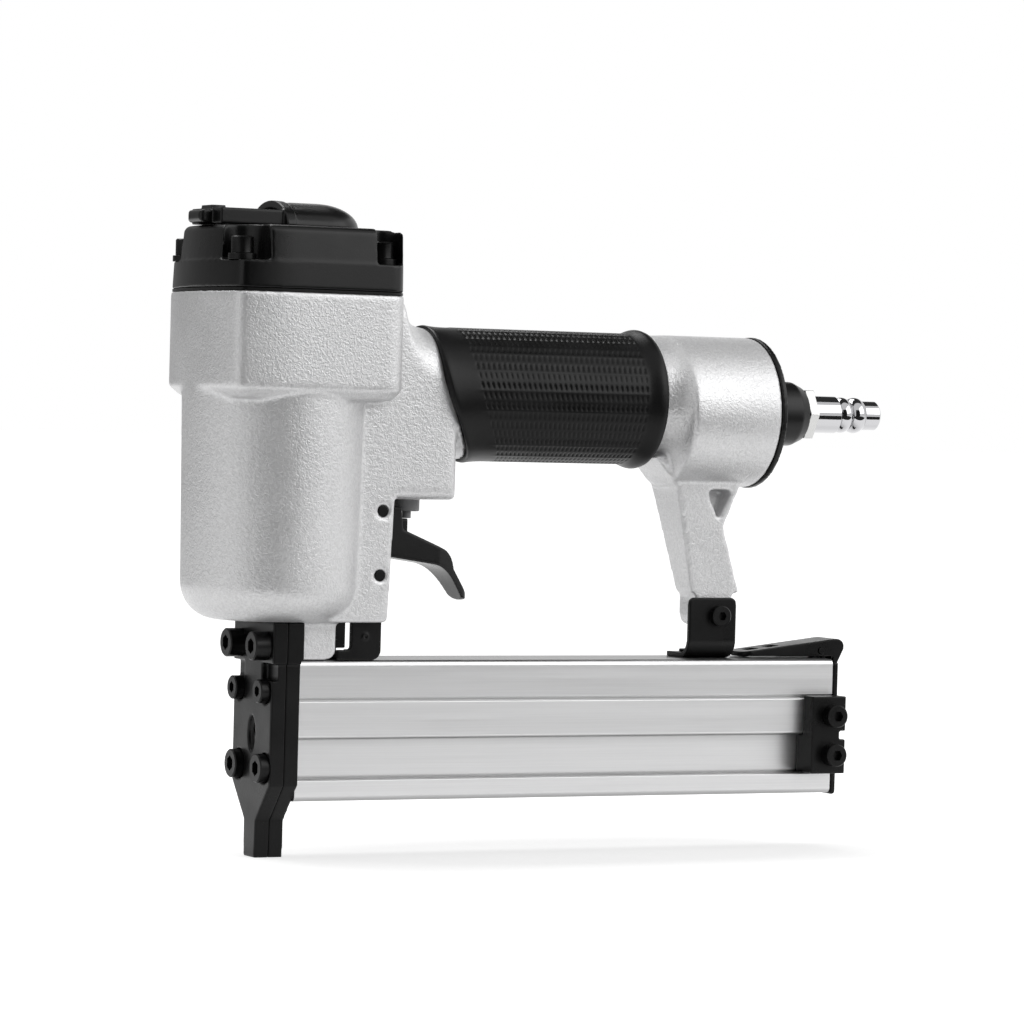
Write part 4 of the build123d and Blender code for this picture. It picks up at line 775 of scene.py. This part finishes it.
def grow(name, tree, points, values):
    """Object with a geometry tree on some points, with the tree's inputs set by name."""
    mesh = bpy.data.meshes.new(name)
    mesh.from_pydata(points, [], [])
    piece = new_object(name, mesh)
    modifier = piece.modifiers.new("shape", "NODES")
    modifier.node_group = tree
    for socket in tree.interface.items_tree:
        if socket.in_out == "INPUT" and socket.name in values:
            modifier[socket.identifier] = values[socket.name]
    return piece


def face_outwards(mesh):
    """Points the faces of a closed mesh outwards."""
    shell = bmesh.new()
    shell.from_mesh(mesh)
    bmesh.ops.recalc_face_normals(shell, faces=shell.faces)
    shell.to_mesh(mesh)
    shell.free()


def circle_through(first, second, third):
    """Centre and radius of the circle through three points of a plane."""
    (ax, ay), (bx, by), (cx, cy) = first, second, third
    a, b, c = (x * x + y * y for x, y in (first, second, third))
    spread = 2 * (ax * (by - cy) + bx * (cy - ay) + cx * (ay - by))
    middle_x = (a * (by - cy) + b * (cy - ay) + c * (ay - by)) / spread
    middle_y = (a * (cx - bx) + b * (ax - cx) + c * (bx - ax)) / spread
    return middle_x, middle_y, math.hypot(ax - middle_x, ay - middle_y)


# Rounded, bevelled, slimmed and springy pieces
for name, (voxel, passes, finish) in SOFT_PIECES.items():
    soften(name, voxel, passes, finish)
for name, (width, finish) in BEVELLED_PIECES.items():
    ease(name, width, finish)
slim("driver_blade", BLADE_ROOM, "bright")
for joint in record["behaviour"]["joints"]:
    for row in joint.get("deforming_nodes", []):
        squeeze(row["node"], "bright")

# Screws
screw_tree = socket_screw_tree()
for name, (size, turn, places) in SCREWS.items():
    thread, length, head, height, key, depth = (value * MM for value in size)
    screws = grow(name + "_cut", screw_tree, [Vector(place) * MM for place in places], {
        "Thread Radius": thread, "Thread Length": length, "Head Radius": head, "Head Height": height,
        "Key Size": key, "Key Depth": depth, "Knurls": KNURLS, "Knurl Depth": KNURL_DEPTH * MM,
        "Edge": HEAD_EDGE * MM, "Turn": turn, "Material": finishes["blackened"]})
    bake(screws, SCREW_CREASE)
    stand_for(screws, name)

# Grip sleeve
edge_x, edge_z, edge_radius = circle_through(*GRIP_EDGE)
sleeve = grow("grip_sleeve_moulded", grip_sleeve_tree(), [(0, 0, 0)], {
    "Columns": DIMPLE_COLUMNS, "Rows": DIMPLE_ROWS, "Level": GRIP_LEVEL * MM, "Radius": GRIP_RADIUS * MM,
    "Bore": GRIP_BORE * MM, "Rear": GRIP_REAR * MM, "Pattern Rear": PATTERN_REAR * MM,
    "Margin": PATTERN_MARGIN * MM, "Edge Centre X": edge_x * MM, "Edge Centre Z": edge_z * MM,
    "Edge Radius": edge_radius * MM, "Edge Round": GRIP_EDGE_ROUND * MM, "Lip": GRIP_LIP * MM,
    "Flare": GRIP_FLARE * MM, "Dimple Length": DIMPLE_LENGTH, "Dimple Height": DIMPLE_HEIGHT,
    "Dimple Depth": DIMPLE_DEPTH * MM, "Ridge": ROW_RIDGE * MM, "Material": finishes["rubber"]})
bake(sleeve, SLEEVE_CREASE)
face_outwards(sleeve.data)
stand_for(sleeve, "grip_sleeve")


# Camera
def camera_axes():
    """Right, up and back of the camera from its yaw, pitch and roll."""
    yaw, pitch, roll = (math.radians(angle) for angle in (CAMERA_YAW, CAMERA_PITCH, CAMERA_ROLL))
    ahead = Vector((math.sin(yaw) * math.cos(pitch), math.cos(yaw) * math.cos(pitch), math.sin(pitch)))
    level = Vector((math.cos(yaw), -math.sin(yaw), 0))
    upright = level.cross(ahead)
    right = math.cos(roll) * level + math.sin(roll) * upright
    up = math.cos(roll) * upright - math.sin(roll) * level
    return right, up, -ahead


camera = new_object("camera", bpy.data.cameras.new("camera"))
camera.data.lens = CAMERA_LENS
camera.data.sensor_width = CAMERA_SENSOR
turned = Matrix(camera_axes()).transposed().to_4x4()
camera.matrix_world = Matrix.Translation(CAMERA_PLACE) @ turned
bpy.context.scene.camera = camera

# Soft boxes: direction from the tool, distance and size in metres, power in watts
TOOL_MIDDLE = Vector((0.085, 0.0, 0.10))
SOFT_BOXES = {
    "key_box": ((0.50, -0.62, 0.48), 0.9, (0.95, 0.6), 3.5),
    "left_box": ((-0.98, 0.15, 0.25), 0.9, (0.3, 0.9), 0.2),
    "top_box": ((-0.15, 0.55, 0.82), 1.0, (0.9, 0.4), 5.0),
}
for name, (direction, distance, size, power) in SOFT_BOXES.items():
    lamp = bpy.data.lights.new(name, "AREA")
    lamp.shape = "RECTANGLE"
    lamp.size, lamp.size_y = size
    lamp.energy = power
    box = new_object(name, lamp)
    toward = Vector(direction).normalized()
    box.location = TOOL_MIDDLE + toward * distance
    box.rotation_euler = toward.to_track_quat("Z", "Y").to_euler()


# Studio surfaces
WHITE = (1, 1, 1, 1)
WALL_HEIGHT = 1.3


def sheet(name, corners, material):
    """Flat four-cornered surface of the studio."""
    mesh = bpy.data.meshes.new(name)
    mesh.from_pydata(corners, [], [(0, 1, 2, 3)])
    mesh.materials.append(material)
    return new_object(name, mesh)


def bare_material(name):
    """Material with an empty tree, and the tree."""
    material = bpy.data.materials.new(name)
    material.use_nodes = True
    material.node_tree.nodes.clear()
    return material, material.node_tree


def standing(start, end):
    """Corners of an upright card over two points of the floor."""
    return [(*start, 0), (*end, 0), (*end, WALL_HEIGHT), (*start, WALL_HEIGHT)]


def lying(left, right, near, far):
    """Corners of a sheet between two level edges, each a Y and a Z."""
    return [(left, *near), (right, *near), (right, *far), (left, *far)]


def card_glow(name, brightness):
    """Glow of an even brightness, seen only in reflections: a painted reflection."""
    material, tree = bare_material(name)
    dim = add_node(tree, "ShaderNodeEmission", {"Color": WHITE, "Strength": brightness})
    add_node(tree, "ShaderNodeOutputMaterial", {"Surface": dim.outputs[0]})
    return material


def backdrop_rays(tree):
    """1 for rays that see the backdrop: from the camera, from gloss and through glass."""
    path = tree.nodes.new("ShaderNodeLightPath").outputs
    seen = calc(tree, "MAXIMUM", path["Is Camera Ray"], path["Is Glossy Ray"])
    return calc(tree, "MAXIMUM", seen, path["Is Transmission Ray"])


# Dim glowing cards, seen only in reflections, that paint the tool's reflections: brightness, corners in
# metres
CARDS = {
    "camera_wall": (0.02, standing((-1.26, -1.22), (0.28, -1.80))),
    "table_edge": (0.03, lying(-1.6, 1.2, (-0.25, 0.002), (-2.0, 0.002))),
    "left_wall": (0.35, standing((-1.41, -0.08), (-1.19, 0.79))),
    "rear_wall": (0.31, standing((-1.19, 0.79), (0.64, 1.39))),
    "ceiling": (0.05, lying(-1.2, 1.5, (-0.1, 1.5), (1.6, 1.0))),
}
for name, (brightness, corners) in CARDS.items():
    card = sheet(name, corners, card_glow(name + "_felt", brightness))
    # Painted reflections: the cards are hidden from the camera, from diffuse light and from shadows
    card.visible_camera = card.visible_shadow = card.visible_diffuse = False

# Floor of white paper that keeps the tool's shadow: its reach in metres and its tone
FLOOR_REACH = 15
PAPER_TONE = 0.5
# Its glow, dimmest in an oval along the magazine: middle, scale, and strength by distance
GLOW_MIDDLE = (0.10, -0.02, 0.0)
GLOW_SCALE = (1.0, 2.5, 1.0)
GLOW_NEAR, GLOW_FAR = 0.08, 0.22
GLOW_LOW, GLOW_HIGH = 0.54, 0.88


def white_paper():
    """Matt paper that glows where the camera, gloss or glass sees it."""
    material, tree = bare_material("white_paper")
    matt = add_node(tree, "ShaderNodeBsdfDiffuse", {"Color": (PAPER_TONE, PAPER_TONE, PAPER_TONE, 1)})
    scaled = vector_calc(tree, "MULTIPLY", object_place(tree), GLOW_SCALE)["Vector"]
    away = vector_calc(tree, "DISTANCE", scaled, GLOW_MIDDLE)["Value"]
    lift = stretch(tree, away, GLOW_NEAR, GLOW_FAR, GLOW_LOW, GLOW_HIGH)
    seen = calc(tree, "MULTIPLY", backdrop_rays(tree), lift)
    glow = add_node(tree, "ShaderNodeEmission", {"Color": WHITE, "Strength": seen})
    both = add_node(tree, "ShaderNodeAddShader", {0: matt.outputs[0], 1: glow.outputs[0]})
    add_node(tree, "ShaderNodeOutputMaterial", {"Surface": both.outputs[0]})
    return material


floor_corners = lying(-FLOOR_REACH, FLOOR_REACH, (-FLOOR_REACH, 0), (FLOOR_REACH, 0))
floor = sheet("floor", floor_corners, white_paper())

# World: white where it is seen, softer where it lights
WORLD_LIGHT = 0.56
WORLD_SEEN = 1.0
world = bpy.data.worlds.new("studio")
bpy.context.scene.world = world
world.use_nodes = True
tree = world.node_tree
background = tree.nodes["Background"].inputs
background["Color"].default_value = WHITE
tree.links.new(stretch(tree, backdrop_rays(tree), 0, 1, WORLD_LIGHT, WORLD_SEEN), background["Strength"])
bpy.context.scene.view_settings.view_transform = "Standard"
